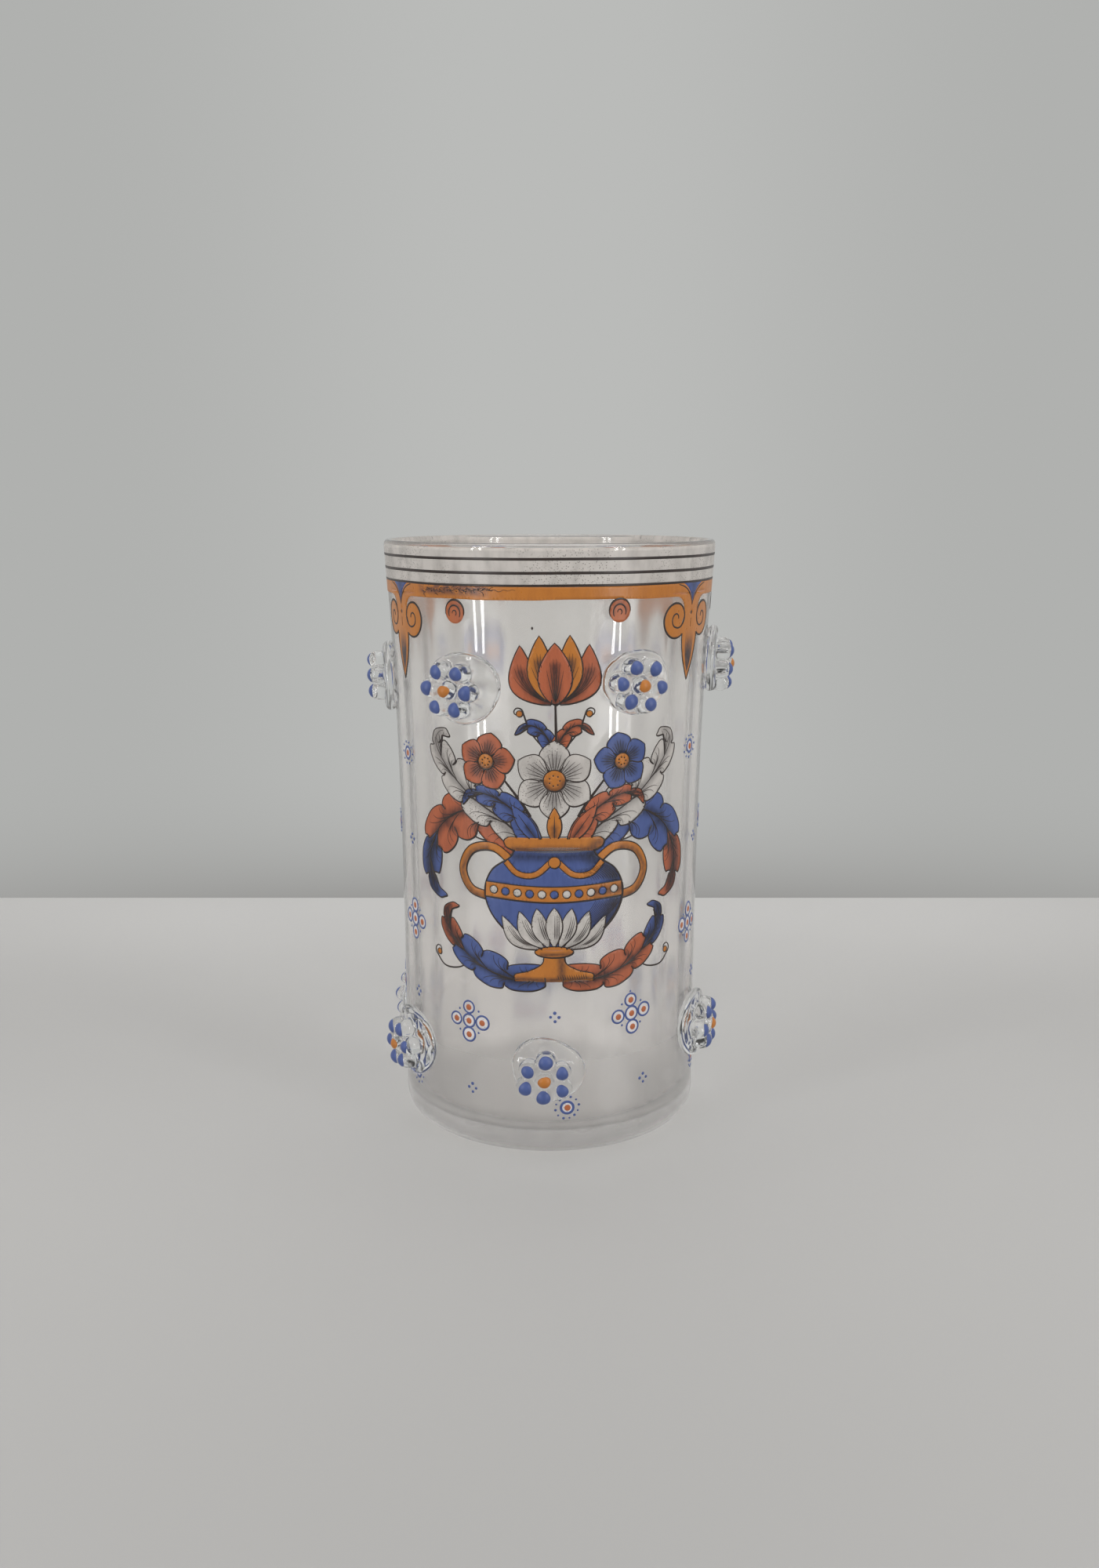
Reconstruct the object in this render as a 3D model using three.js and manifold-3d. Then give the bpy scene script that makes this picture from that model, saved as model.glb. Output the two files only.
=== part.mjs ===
// A blown glass vase of straight beaker form with twelve applied raspberry prunts.
// Lengths are millimetres. The vase stands on the XY plane with its axis on Z, and its painted front faces -Y.
// The vessel is one blown body. Each prunt is a gob of hot glass laid on the wall and pressed with a stamp, which
// leaves a ring of six lobes round a seventh. The prunts are in two rows, six under the rim and six above the foot.

import * as THREE from 'three';
import { mergeVertices } from 'three/addons/utils/BufferGeometryUtils.js';
import Module from 'manifold-3d';

// Vessel
const VASE_HEIGHT = 200;
const BASE_RADIUS = 51;
const RIM_RADIUS = 55.6;
const FLARE_POWER = 3;
const WALL = 2.8;
const FLOOR_THICKNESS = 7;
const OUTER_CORNER = 7.6;
const INNER_CORNER = 9;
const FOOT_RING_WIDTH = 7;
const KICK_HEIGHT = 4;
const RIB_COUNT = 24;
const RIB_DEPTH = 0.5;
const RIB_FADE = 24;

// Prunts
const UPPER_ROW_DROP = 44;
const LOWER_ROW_RISE = 30;
const SEAT_CLEARANCE = 0.3;
const PAD_DIAMETER = 25;
const PAD_THICKNESS = 3.6;
const PAD_WAVE = 0.05;
const BOSS_RADIUS = 8.2;
const BOSS_HEIGHT = 6.4;
const LOBE_COUNT = 6;
const LOBE_RADIUS = 3.1;
const LOBE_STRETCH = 1.25;
const LOBE_SPREAD = 6;
const PRUNT_REACH = 8.8;
const MIDDLE_LOBE_LEAD = 0.7;

// How finely the round shapes are divided
const STEPS_PER_RIB = 4;
const WALL_STEPS = 5;
const CORNER_STEPS = 4;
const LIP_STEPS = 4;
const KICK_STEPS = 3;
const PAD_SIDES = 14;
const PAD_RINGS = 2;
const LOBE_SIDES = 8;
const LOBE_RINGS = 5;
const BEAD_STEPS = 3;

const GLASS = { color: 0xc8c9c5, roughness: 0.07, metalness: 0, transparent: true, opacity: 0.4 };
const PRUNT_GLASS = { color: 0xd3d6d2, roughness: 0.05, metalness: 0, transparent: true, opacity: 0.5 };

const SEGMENTS = RIB_COUNT * STEPS_PER_RIB;

const wasm = await Module();
wasm.setup();

// The outer radius of the wall at a height: nearly straight low down, opening towards the rim.
function wallRadius(height) {
  const share = THREE.MathUtils.clamp((height - OUTER_CORNER) / (VASE_HEIGHT - OUTER_CORNER), 0, 1);
  return BASE_RADIUS + (RIM_RADIUS - BASE_RADIUS) * share ** FLARE_POWER;
}

// Points on an arc about a centre, from one angle to another in degrees, both ends included.
function arc(centreX, centreY, radius, from, to, steps) {
  return Array.from({ length: steps + 1 }, (_, i) => {
    const angle = THREE.MathUtils.degToRad(from + ((to - from) * i) / steps);
    return new THREE.Vector2(centreX + radius * Math.cos(angle), centreY + radius * Math.sin(angle));
  });
}

// The push-up under the vase: zero at the reach and KICK_HEIGHT on the axis, with a level crown.
function kick(radius, reach) {
  const share = Math.min(radius / reach, 1);
  return (KICK_HEIGHT * (1 + Math.cos(Math.PI * share))) / 2;
}

// Half of the vessel's section, from the axis under the foot round the rim to the axis inside.
// The ribs are on the inner wall only, so its rows are marked.
function vesselProfile() {
  const ringOuter = BASE_RADIUS - OUTER_CORNER;
  const ringInner = ringOuter - FOOT_RING_WIDTH;
  const innerFloor = BASE_RADIUS - WALL - INNER_CORNER;
  const cornerTop = FLOOR_THICKNESS + INNER_CORNER;
  const lip = WALL / 2;
  const points = [];
  const underKick = (i) => (ringInner * i) / KICK_STEPS;
  for (let i = 0; i <= KICK_STEPS; i += 1) {
    points.push(new THREE.Vector2(underKick(i), kick(underKick(i), ringInner)));
  }
  points.push(...arc(ringOuter, OUTER_CORNER, OUTER_CORNER, -90, 0, CORNER_STEPS));
  for (let i = 1; i < WALL_STEPS; i += 1) {
    const height = OUTER_CORNER + ((VASE_HEIGHT - lip - OUTER_CORNER) * i) / WALL_STEPS;
    points.push(new THREE.Vector2(wallRadius(height), height));
  }
  points.push(...arc(RIM_RADIUS - lip, VASE_HEIGHT - lip, lip, 0, 180, LIP_STEPS));
  const firstInner = points.length;
  for (let i = 1; i < WALL_STEPS; i += 1) {
    const height = VASE_HEIGHT - lip - ((VASE_HEIGHT - lip - cornerTop) * i) / WALL_STEPS;
    points.push(new THREE.Vector2(wallRadius(height) - WALL, height));
  }
  const lastInner = points.length;
  points.push(...arc(innerFloor, cornerTop, INNER_CORNER, 0, -90, CORNER_STEPS));
  for (let i = KICK_STEPS - 1; i >= 0; i -= 1) {
    const radius = (innerFloor * i) / KICK_STEPS;
    points.push(new THREE.Vector2(radius, FLOOR_THICKNESS + kick(radius, innerFloor)));
  }
  return { points, firstInner, lastInner };
}

// A mesh whose shared corners are one vertex, with the slivers at its poles taken out.
function weld(geometry) {
  const bare = geometry.clone();
  bare.deleteAttribute('normal');
  bare.deleteAttribute('uv');
  const merged = mergeVertices(bare, 1e-4);
  const index = merged.index.array;
  const kept = [];
  for (let i = 0; i < index.length; i += 3) {
    const [a, b, c] = [index[i], index[i + 1], index[i + 2]];
    if (a !== b && b !== c && c !== a) {
      kept.push(a, b, c);
    }
  }
  merged.setIndex(kept);
  return merged;
}

// The vessel turned from its section, then pressed with shallow upright flutes inside, as a rib mould leaves them.
function vesselGeometry() {
  const { points, firstInner, lastInner } = vesselProfile();
  const turned = new THREE.LatheGeometry(points, SEGMENTS);
  const place = turned.attributes.position;
  for (let column = 0; column <= SEGMENTS; column += 1) {
    const wave = (1 - Math.cos((2 * Math.PI * column) / STEPS_PER_RIB)) / 2;
    for (let row = firstInner; row < lastInner; row += 1) {
      const i = column * points.length + row;
      const fade = THREE.MathUtils.smoothstep(VASE_HEIGHT - points[row].y, 0, RIB_FADE);
      const scale = 1 - (RIB_DEPTH * wave * fade) / points[row].x;
      place.setX(i, place.getX(i) * scale);
      place.setZ(i, place.getZ(i) * scale);
    }
  }
  turned.rotateX(Math.PI / 2);
  const welded = weld(turned);
  welded.computeVertexNormals();
  return welded;
}

function toSolid(geometry) {
  const welded = weld(geometry);
  return new wasm.Manifold(new wasm.Mesh({
    numProp: 3,
    vertProperties: new Float32Array(welded.attributes.position.array),
    triVerts: new Uint32Array(welded.index.array),
  }));
}

function fromSolid(solid) {
  const mesh = solid.getMesh();
  const geometry = new THREE.BufferGeometry();
  geometry.setAttribute('position', new THREE.BufferAttribute(new Float32Array(mesh.vertProperties), 3));
  geometry.setIndex(Array.from(mesh.triVerts));
  return geometry;
}

// The slumped gob under the lobes, laid flat: x to the right, y up the wall and z out of it.
// Its outline wavers by PAD_WAVE, and its underside has rings enough to follow the wall once it is wrapped.
function padGeometry({ shift, twist }) {
  const radius = PAD_DIAMETER / 2;
  const edge = PAD_THICKNESS - SEAT_CLEARANCE;
  const underside = Array.from({ length: PAD_RINGS + 1 }, (_, i) => {
    return new THREE.Vector2((radius - edge / 2) * (i / PAD_RINGS), SEAT_CLEARANCE);
  });
  const side = arc(radius - edge / 2, SEAT_CLEARANCE + edge / 2, edge / 2, -60, 90, BEAD_STEPS);
  const pad = new THREE.LatheGeometry([...underside, ...side, new THREE.Vector2(0, PAD_THICKNESS)], PAD_SIDES);
  pad.rotateX(Math.PI / 2);
  const place = pad.attributes.position;
  for (let i = 0; i < place.count; i += 1) {
    const angle = Math.atan2(place.getY(i), place.getX(i)) + THREE.MathUtils.degToRad(twist);
    const swell = 1 + PAD_WAVE * (Math.cos(2 * angle) + Math.sin(3 * angle) / 2);
    place.setX(i, place.getX(i) * swell + shift[0]);
    place.setY(i, place.getY(i) * swell + shift[1]);
  }
  return pad;
}

// The low crown that the stamp raises, which the lobes grow out of.
function bossGeometry() {
  const crown = arc(0, 0, 1, 0, 90, BEAD_STEPS).map((p) => {
    return new THREE.Vector2(p.x * BOSS_RADIUS, PAD_THICKNESS / 2 + p.y * (BOSS_HEIGHT - PAD_THICKNESS / 2));
  });
  crown[BEAD_STEPS].x = 0;
  const boss = new THREE.LatheGeometry([new THREE.Vector2(0, PAD_THICKNESS / 2), ...crown], PAD_SIDES);
  boss.rotateX(Math.PI / 2);
  return boss;
}

// One lobe, a stretched bead whose tip is at the given height above the wall.
function lobeGeometry(x, y, tip) {
  const lobe = new THREE.SphereGeometry(LOBE_RADIUS, LOBE_SIDES, LOBE_RINGS);
  lobe.rotateX(Math.PI / 2);
  lobe.scale(1, 1, LOBE_STRETCH);
  lobe.translate(x, y, tip - LOBE_RADIUS * LOBE_STRETCH);
  return lobe;
}

// The whole prunt as one solid, still flat.
function flatPrunt(prunt) {
  const tip = PRUNT_REACH + prunt.extraReach;
  let solid = toSolid(padGeometry(prunt)).add(toSolid(bossGeometry()));
  solid = solid.add(toSolid(lobeGeometry(0, 0, tip + MIDDLE_LOBE_LEAD)));
  for (let i = 0; i < LOBE_COUNT; i += 1) {
    const angle = (2 * Math.PI * i) / LOBE_COUNT + THREE.MathUtils.degToRad(prunt.twist);
    solid = solid.add(toSolid(lobeGeometry(LOBE_SPREAD * Math.cos(angle), LOBE_SPREAD * Math.sin(angle), tip)));
  }
  return fromSolid(solid);
}

// Bends the flat prunt round the wall, which keeps SEAT_CLEARANCE under all of its pad.
// Its own origin is the point of the wall behind its middle lobe.
function wrapOnWall(geometry, height) {
  const seat = wallRadius(height);
  const place = geometry.attributes.position;
  for (let i = 0; i < place.count; i += 1) {
    const up = place.getY(i);
    const radius = wallRadius(height + up) + place.getZ(i);
    const angle = place.getX(i) / seat;
    place.setXYZ(i, radius * Math.sin(angle), seat - radius * Math.cos(angle), up);
  }
  geometry.computeVertexNormals();
  return geometry;
}

function namedMesh(name, geometry, look) {
  const mesh = new THREE.Mesh(geometry, new THREE.MeshStandardMaterial(look));
  mesh.name = name;
  return mesh;
}

// The place of each prunt: its angle from the front in degrees, positive to the right; how far it strays up from
// its row; the turn of its stamp in degrees; how far its pad slumped right and up; and how far it stands out
// beyond PRUNT_REACH.
const upperPrunts = [
  { name: 'prunt_upper_front_left', angle: -32.3, stray: -1, twist: -4, shift: [2.6, 0.6], extraReach: 0 },
  { name: 'prunt_upper_front_right', angle: 29, stray: 0.5, twist: -8, shift: [0.8, 0.7], extraReach: 0 },
  { name: 'prunt_upper_right', angle: 89, stray: 2, twist: 12, shift: [-0.8, 2.2], extraReach: 0.6 },
  { name: 'prunt_upper_back_right', angle: 149, stray: -1, twist: 20, shift: [1, 1.4], extraReach: 0 },
  { name: 'prunt_upper_back_left', angle: -151, stray: 0.5, twist: -14, shift: [-1.6, 0.8], extraReach: 0 },
  { name: 'prunt_upper_left', angle: -92, stray: -2.5, twist: 8, shift: [1.4, 0.4], extraReach: 0.4 },
];
const lowerPrunts = [
  { name: 'prunt_lower_front', angle: -1.6, stray: -0.5, twist: 27, shift: [0.9, 1.8], extraReach: 0 },
  { name: 'prunt_lower_right', angle: 73, stray: 4.5, twist: 2, shift: [-1.8, 0.9], extraReach: 0 },
  { name: 'prunt_lower_back_right', angle: 128, stray: 2, twist: 15, shift: [1.2, 1], extraReach: 0 },
  { name: 'prunt_lower_back', angle: 180, stray: 0, twist: 30, shift: [-1, 1.2], extraReach: 0 },
  { name: 'prunt_lower_back_left', angle: -114, stray: 1.5, twist: 18, shift: [1.6, 0.6], extraReach: 0 },
  { name: 'prunt_lower_left', angle: -63.5, stray: 0.5, twist: 8, shift: [2.4, 1.4], extraReach: 0 },
];

const vase = new THREE.Group();
vase.add(namedMesh('glass_body', vesselGeometry(), GLASS));

function addPrunt(prunt, rowHeight) {
  const height = rowHeight + prunt.stray;
  const mesh = namedMesh(prunt.name, wrapOnWall(flatPrunt(prunt), height), PRUNT_GLASS);
  mesh.position.set(0, -wallRadius(height), height);
  const turn = new THREE.Group();
  turn.rotation.z = THREE.MathUtils.degToRad(prunt.angle);
  turn.add(mesh);
  vase.add(turn);
}

for (const prunt of upperPrunts) {
  addPrunt(prunt, VASE_HEIGHT - UPPER_ROW_DROP);
}
for (const prunt of lowerPrunts) {
  addPrunt(prunt, LOWER_ROW_RISE);
}

export default vase;
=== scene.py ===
"""The looks of a blown glass vase with applied raspberry prunts and painted enamel.

Lengths are metres, and the drawings of the enamel are in millimetres. The vase stands on the XY plane with
its axis on Z, and its painted front faces -Y. An angle round the vase is zero at the front and grows to the
right.
"""

import math
from collections import namedtuple

import bmesh
import bpy
import numpy as np
from bpy.props import FloatProperty, FloatVectorProperty, IntProperty, PointerProperty
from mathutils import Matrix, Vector
from mathutils.geometry import delaunay_2d_cdt


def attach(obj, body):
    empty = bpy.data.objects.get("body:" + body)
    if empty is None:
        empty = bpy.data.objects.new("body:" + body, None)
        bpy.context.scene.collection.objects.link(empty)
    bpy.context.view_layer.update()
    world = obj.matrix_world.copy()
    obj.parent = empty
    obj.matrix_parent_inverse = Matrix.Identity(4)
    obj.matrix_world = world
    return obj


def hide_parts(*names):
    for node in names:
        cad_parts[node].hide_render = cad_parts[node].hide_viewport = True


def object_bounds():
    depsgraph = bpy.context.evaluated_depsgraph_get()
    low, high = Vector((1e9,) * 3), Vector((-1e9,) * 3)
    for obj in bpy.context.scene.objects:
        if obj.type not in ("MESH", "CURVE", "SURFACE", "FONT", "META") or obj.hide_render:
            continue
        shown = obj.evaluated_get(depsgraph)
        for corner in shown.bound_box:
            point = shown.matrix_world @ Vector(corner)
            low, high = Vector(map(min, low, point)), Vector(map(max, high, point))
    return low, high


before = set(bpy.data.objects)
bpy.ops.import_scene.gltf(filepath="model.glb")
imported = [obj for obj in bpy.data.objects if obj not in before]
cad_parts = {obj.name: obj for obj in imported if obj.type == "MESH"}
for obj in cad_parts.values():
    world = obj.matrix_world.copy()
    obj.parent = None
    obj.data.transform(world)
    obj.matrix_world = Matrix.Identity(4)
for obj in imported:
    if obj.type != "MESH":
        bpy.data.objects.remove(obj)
CAD_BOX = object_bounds()

bl_info = {
    "name": "Enamelled Glass Vase",
    "version": (1, 0, 0),
    "blender": (4, 5, 0),
    "location": "View3D > Sidebar > Vase",
    "description": "Makes a blown glass vase with prunts and enamel painting",
    "category": "Add Mesh",
}

MM = 0.001
TINY = 1e-9
BODY = "root"
GLASS_IOR = 1.5


def pigment(red, green, blue):
    """A colour seen as these 0 to 255 screen values, as linear light."""
    shares = [value / 255 for value in (red, green, blue)]
    return tuple(s / 12.92 if s <= 0.04045 else ((s + 0.055) / 1.055) ** 2.4 for s in shares)


def number(name, description, value, **limits):
    """A property that holds a number."""
    return FloatProperty(name=name, description=description, default=value, **limits)


def length(name, description, millimetres):
    """A property that holds a length, with its default in millimetres."""
    return number(name, description, millimetres * MM, min=0.0, precision=5, subtype="DISTANCE",
                  unit="LENGTH")


def tilt(name, description, degrees):
    """A property that holds an angle, with its default in degrees."""
    return number(name, description, math.radians(degrees), subtype="ANGLE", unit="ROTATION")


def paint(name, description, colour):
    """A property that holds a colour."""
    return FloatVectorProperty(name=name, description=description, default=colour, subtype="COLOR",
                               size=3, min=0.0, max=1.0)


def share(name, description, value):
    """A property that holds a share from 0 to 1."""
    return number(name, description, value, min=0.0, max=1.0, subtype="FACTOR")


# Settings

class VesselSettings(bpy.types.PropertyGroup):
    """Sizes of the blown vessel"""

    height: number("Height", "Height of the vase, from the packed model", CAD_BOX[1].z,
                   subtype="DISTANCE", unit="LENGTH")
    base_radius: length("Base radius", "Outer radius above the foot", 51)
    rim_radius: length("Rim radius", "Outer radius at the lip", 55.6)
    flare_power: number("Flare power", "How late the wall opens", 3.0)
    wall: length("Wall", "Thickness of the wall", 2.8)
    floor_thickness: length("Floor thickness", "Glass under the inside of the base", 7)
    outer_corner: length("Outer corner", "Radius between wall and foot", 7.6)
    inner_corner: length("Inner corner", "Radius between wall and inner floor", 9)
    foot_ring_width: length("Foot ring width", "Flat ring that the vase stands on", 7)
    kick_height: length("Kick height", "Rise of the push-up under the vase", 4)
    rib_count: IntProperty(name="Rib count", description="Optic ribs pressed inside the wall", default=24)
    rib_depth: length("Rib depth", "How far the ribs stand in", 0.5)
    rib_fade: length("Rib fade", "Height over which the ribs fade out under the lip", 24)
    waviness: length("Waviness", "Uneven swells of hand-blown glass", 0.16)
    clear: paint("Clear glass", "Tint of the wall", (0.98, 0.96, 0.943))
    haze: share("Haze", "Milky film on the wall", 0.08)
    mist: share("Mist", "How much the ribbed inner face blurs what is behind it", 0.19)
    frost: share("Frost", "How cloudy the scuffed glass near the foot is", 0.07)


class PruntSettings(bpy.types.PropertyGroup):
    """Sizes of the raspberry prunts"""

    upper_row_drop: length("Upper row drop", "From the lip down to the upper row", 44)
    lower_row_rise: length("Lower row rise", "From the foot up to the lower row", 30)
    pad_diameter: length("Pad diameter", "Width of the slumped gob", 25)
    pad_thickness: length("Pad thickness", "Height of its rolled edge", 3.6)
    pad_wave: share("Pad wave", "How unround the pad is", 0.05)
    boss_radius: length("Boss radius", "Half the width of the crown under the lobes", 8.0)
    boss_height: length("Boss height", "Height of the crown", 6.0)
    lobe_count: IntProperty(name="Lobe count", description="Lobes round the middle one", default=6)
    lobe_radius: length("Lobe radius", "Half the width of a lobe", 3.05)
    lobe_depth: length("Lobe depth", "Half the length of a lobe", 3.9)
    lobe_spread: length("Lobe spread", "From the middle to the outer lobes", 6.25)
    reach: length("Reach", "How far the outer lobes stand out", 8.5)
    middle_lead: length("Middle lead", "How far the middle lobe stands beyond the others", 0.7)
    seat: length("Seat", "Gap that stands for the weld", 0.03)
    cap_radius: length("Cap radius", "Half the width of a lobe's enamel dot", 1.85)
    cap_swell: length("Cap swell", "Thickness of a lobe's enamel dot", 0.17)
    clear: paint("Clear glass", "Tint of the prunts", (0.985, 0.988, 0.985))
    haze: share("Haze", "Milky film on the prunts", 0.03)


class EnamelSettings(bpy.types.PropertyGroup):
    """Colours and thickness of the fired enamel"""

    white: paint("White", "Thin white ground", pigment(214, 208, 202))
    bright: paint("Bright white", "White inside the small rings", pigment(235, 230, 230))
    blue: paint("Blue", "Raised blue", pigment(77, 95, 152))
    gold: paint("Gold", "Ochre gold", pigment(194, 121, 48))
    coral: paint("Coral", "Coral of dots and discs", pigment(186, 105, 62))
    rust: paint("Rust", "Rust red of leaves and flowers", pigment(184, 100, 66))
    black: paint("Black", "Black brown of rings and outlines", pigment(45, 36, 33))
    lift: length("Lift", "Gap under the enamel, which stands for the fused seam", 0.03)
    coat: length("Coat", "Thickness of a painted field", 0.09)
    line: length("Line", "Thickness of an outline, above the fields", 0.15)
    picture_angle: tilt("Picture angle", "Turn of the picture's middle from the front", 1.7)


class StageSettings(bpy.types.PropertyGroup):
    """Camera, floor and light"""

    lens: number("Lens", "Focal length on a 36 mm frame", 33.34)
    camera_distance: length("Camera distance", "From the axis of the vase", 495.8)
    camera_height: length("Camera height", "Above the floor", 214.3)
    camera_pitch: tilt("Camera pitch", "Tilt below the horizon", 11.25)
    table_depth: length("Table depth", "From the axis back to the far edge of the floor", 265)
    # The near and far floor tones are painted light: darker towards the camera, lighter at the far edge
    floor_near_shaded: paint("Near floor", "Pale floor towards the camera", pigment(181, 180, 178))
    floor: paint("Floor", "Pale floor round the vase", pigment(194, 193, 191))
    floor_far_lit: paint("Far floor", "Pale floor at its far edge", pigment(218, 217, 215))
    wall_light: paint("Wall light", "Background behind the vase", pigment(186, 187, 185))
    wall_aside: paint("Wall aside", "Background left and right of the middle", pigment(176, 177, 175))
    wall_beyond: paint("Wall beyond", "Pale walls at both sides, out of the picture", pigment(206, 206, 204))
    # Painted shade on the background where it meets the floor
    wall_shaded: paint("Wall dark", "Background near the floor", pigment(150, 149, 147))
    world_light: number("World light", "Strength of the even light", 0.45)
    top_power: number("Top lamp", "Watts of the wide lamp above", 6.3)
    strip_power: number("Strip lamps", "Watts of each tall narrow lamp", 0.42)
    strip_width: length("Strip width", "Width of each tall narrow lamp", 16)


# Meshes

def new_object(name, points, faces, smooth=True):
    """A linked mesh object from points and faces."""
    mesh = bpy.data.meshes.new(name)
    mesh.from_pydata(np.asarray(points, float), [], [tuple(int(i) for i in face) for face in faces])
    mesh.update()
    if smooth:
        mesh.shade_smooth()
    obj = bpy.data.objects.new(name, mesh)
    bpy.context.scene.collection.objects.link(obj)
    return obj


def mark(obj, label, values, domain="POINT"):
    """Stores a number for each point, or each face corner, of a mesh."""
    attribute = obj.data.attributes.new(label, "FLOAT", domain)
    attribute.data.foreach_set("value", np.asarray(values, np.float32))


def settle(obj, slot, *nodes, material=None):
    """Gives a finished piece its material, lets it ride on the vase and hides the nodes that it stands for.
    The slot is not used.
    """
    if material:
        obj.data.materials.append(material)
    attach(obj, BODY)
    if nodes:
        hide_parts(*nodes)


def wall_radius(vessel, height):
    """The outer radius of the wall at a height: nearly straight low down, opening towards the rim."""
    rise = np.clip((height - vessel.outer_corner) / (vessel.height - vessel.outer_corner), 0, 1)
    return vessel.base_radius + (vessel.rim_radius - vessel.base_radius) * rise**vessel.flare_power


def on_wall(vessel, angle, height, out):
    """The point at an angle and a height, standing out from the wall."""
    radius = wall_radius(vessel, height) + out
    return np.stack([radius * np.sin(angle), -radius * np.cos(angle), height + 0 * radius], -1)


def ring_faces(rows, columns, rows_closed):
    """Quads of a grid whose rows run round a ring, from each row to the next."""
    i = np.arange(rows if rows_closed else rows - 1)[:, None]
    j = np.arange(columns)[None, :]
    up, round_ = (i + 1) % rows, (j + 1) % columns
    corners = [i * columns + j, i * columns + round_, up * columns + round_, up * columns + j]
    return np.stack([np.broadcast_to(c, (len(i), columns)) for c in corners], -1).reshape(-1, 4)


def turned_band(vessel, section, columns, sway=0.0):
    """Points and faces of a closed band round the vase. Its section is pairs of height and stand-out."""
    angle = np.linspace(0, 2 * math.pi, columns, endpoint=False)
    drift = sway * (np.sin(2 * angle + 0.4) + 0.6 * np.sin(5 * angle + 1.1) + 0.3 * np.sin(11 * angle))
    rows = [on_wall(vessel, angle, height + drift, out) for height, out in section]
    return np.concatenate(rows), ring_faces(len(section), columns, True)


# Flat drawing, in millimetres

def curve_through(points, spacing=0.5):
    """A smooth line through the points."""
    p = np.array(points, float)
    q = np.vstack([2 * p[0] - p[1], p, 2 * p[-1] - p[-2]])
    parts = []
    for a, b, c, d in zip(q, q[1:], q[2:], q[3:]):
        count = max(2, int(np.hypot(*(c - b)) / spacing) + 1)
        t = np.linspace(0, 1, count, endpoint=False)[:, None]
        squares = (2 * a - 5 * b + 4 * c - d) * t**2
        parts.append((2 * b + (c - a) * t + squares + (3 * b - a - 3 * c + d) * t**3) / 2)
    return np.vstack([*parts, p[-1:]])


def evenly(line, count):
    """The line with its points spaced evenly along it."""
    along = np.concatenate([[0], np.cumsum(np.hypot(*np.diff(line, axis=0).T))])
    want = np.linspace(0, along[-1], count)
    return np.stack([np.interp(want, along, line[:, i]) for i in (0, 1)], 1)


def directions(line):
    """Unit vectors along the line and to its left."""
    ahead = np.gradient(line, axis=0)
    ahead /= np.hypot(*ahead.T)[:, None] + TINY
    return ahead, np.stack([-ahead[:, 1], ahead[:, 0]], 1)


def oval(x, y, rx, ry, count, start=0.0, sweep=360.0):
    """A closed oval, or part of one where the sweep is less than a full turn."""
    angle = np.radians(start + np.linspace(0, sweep, count, endpoint=sweep < 360))
    return np.stack([x + rx * np.cos(angle), y + ry * np.sin(angle)], 1)


def spiral(x, y, inner, outer, turns, start, hand, count):
    """A line that winds out from near a centre. Hand is 1 for anticlockwise."""
    t = np.linspace(0, 1, count)
    angle = math.radians(start) + hand * 2 * math.pi * turns * t
    radius = inner + (outer - inner) * t**0.9
    return np.stack([x + radius * np.cos(angle), y + radius * np.sin(angle)], 1)


def strap(line, half):
    """The loop of a band of even width along a line."""
    _, left = directions(line)
    return np.vstack([line + left * half, (line - left * half)[::-1]])


def mirrored(points):
    """A smooth closed loop from points along the left half of a symmetrical outline."""
    half = curve_through(points)
    return np.vstack([half, half[::-1] * [-1, 1]])


def brush(count, thick, thin, swell):
    """Stroke widths that swell early and end thin, as a brush leaves them."""
    t = np.linspace(0, 1, count)
    rise = np.clip(t / swell, 0, 1)
    fall = np.clip((1 - t) / (1 - swell), 0, 1)
    return thin + (thick - thin) * np.minimum(rise**0.5, fall**0.8)


def inside(loop, points):
    """True for each point inside the loop."""
    x, y = points[:, 0:1], points[:, 1:2]
    a, b = loop, np.roll(loop, -1, axis=0)
    straddles = (a[None, :, 1] > y) != (b[None, :, 1] > y)
    rise = b[:, 1] - a[:, 1]
    slope = (b[:, 0] - a[:, 0]) / np.where(rise == 0, TINY, rise)
    crossing = a[None, :, 0] + slope[None] * (y - a[None, :, 1])
    return (straddles & (x < crossing)).sum(1) % 2 == 1


def turns_left(loop):
    """Twice the area of a loop, positive where it runs anticlockwise."""
    after = np.roll(loop, -1, axis=0)
    return np.sum(loop[:, 0] * after[:, 1] - after[:, 0] * loop[:, 1])


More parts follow.
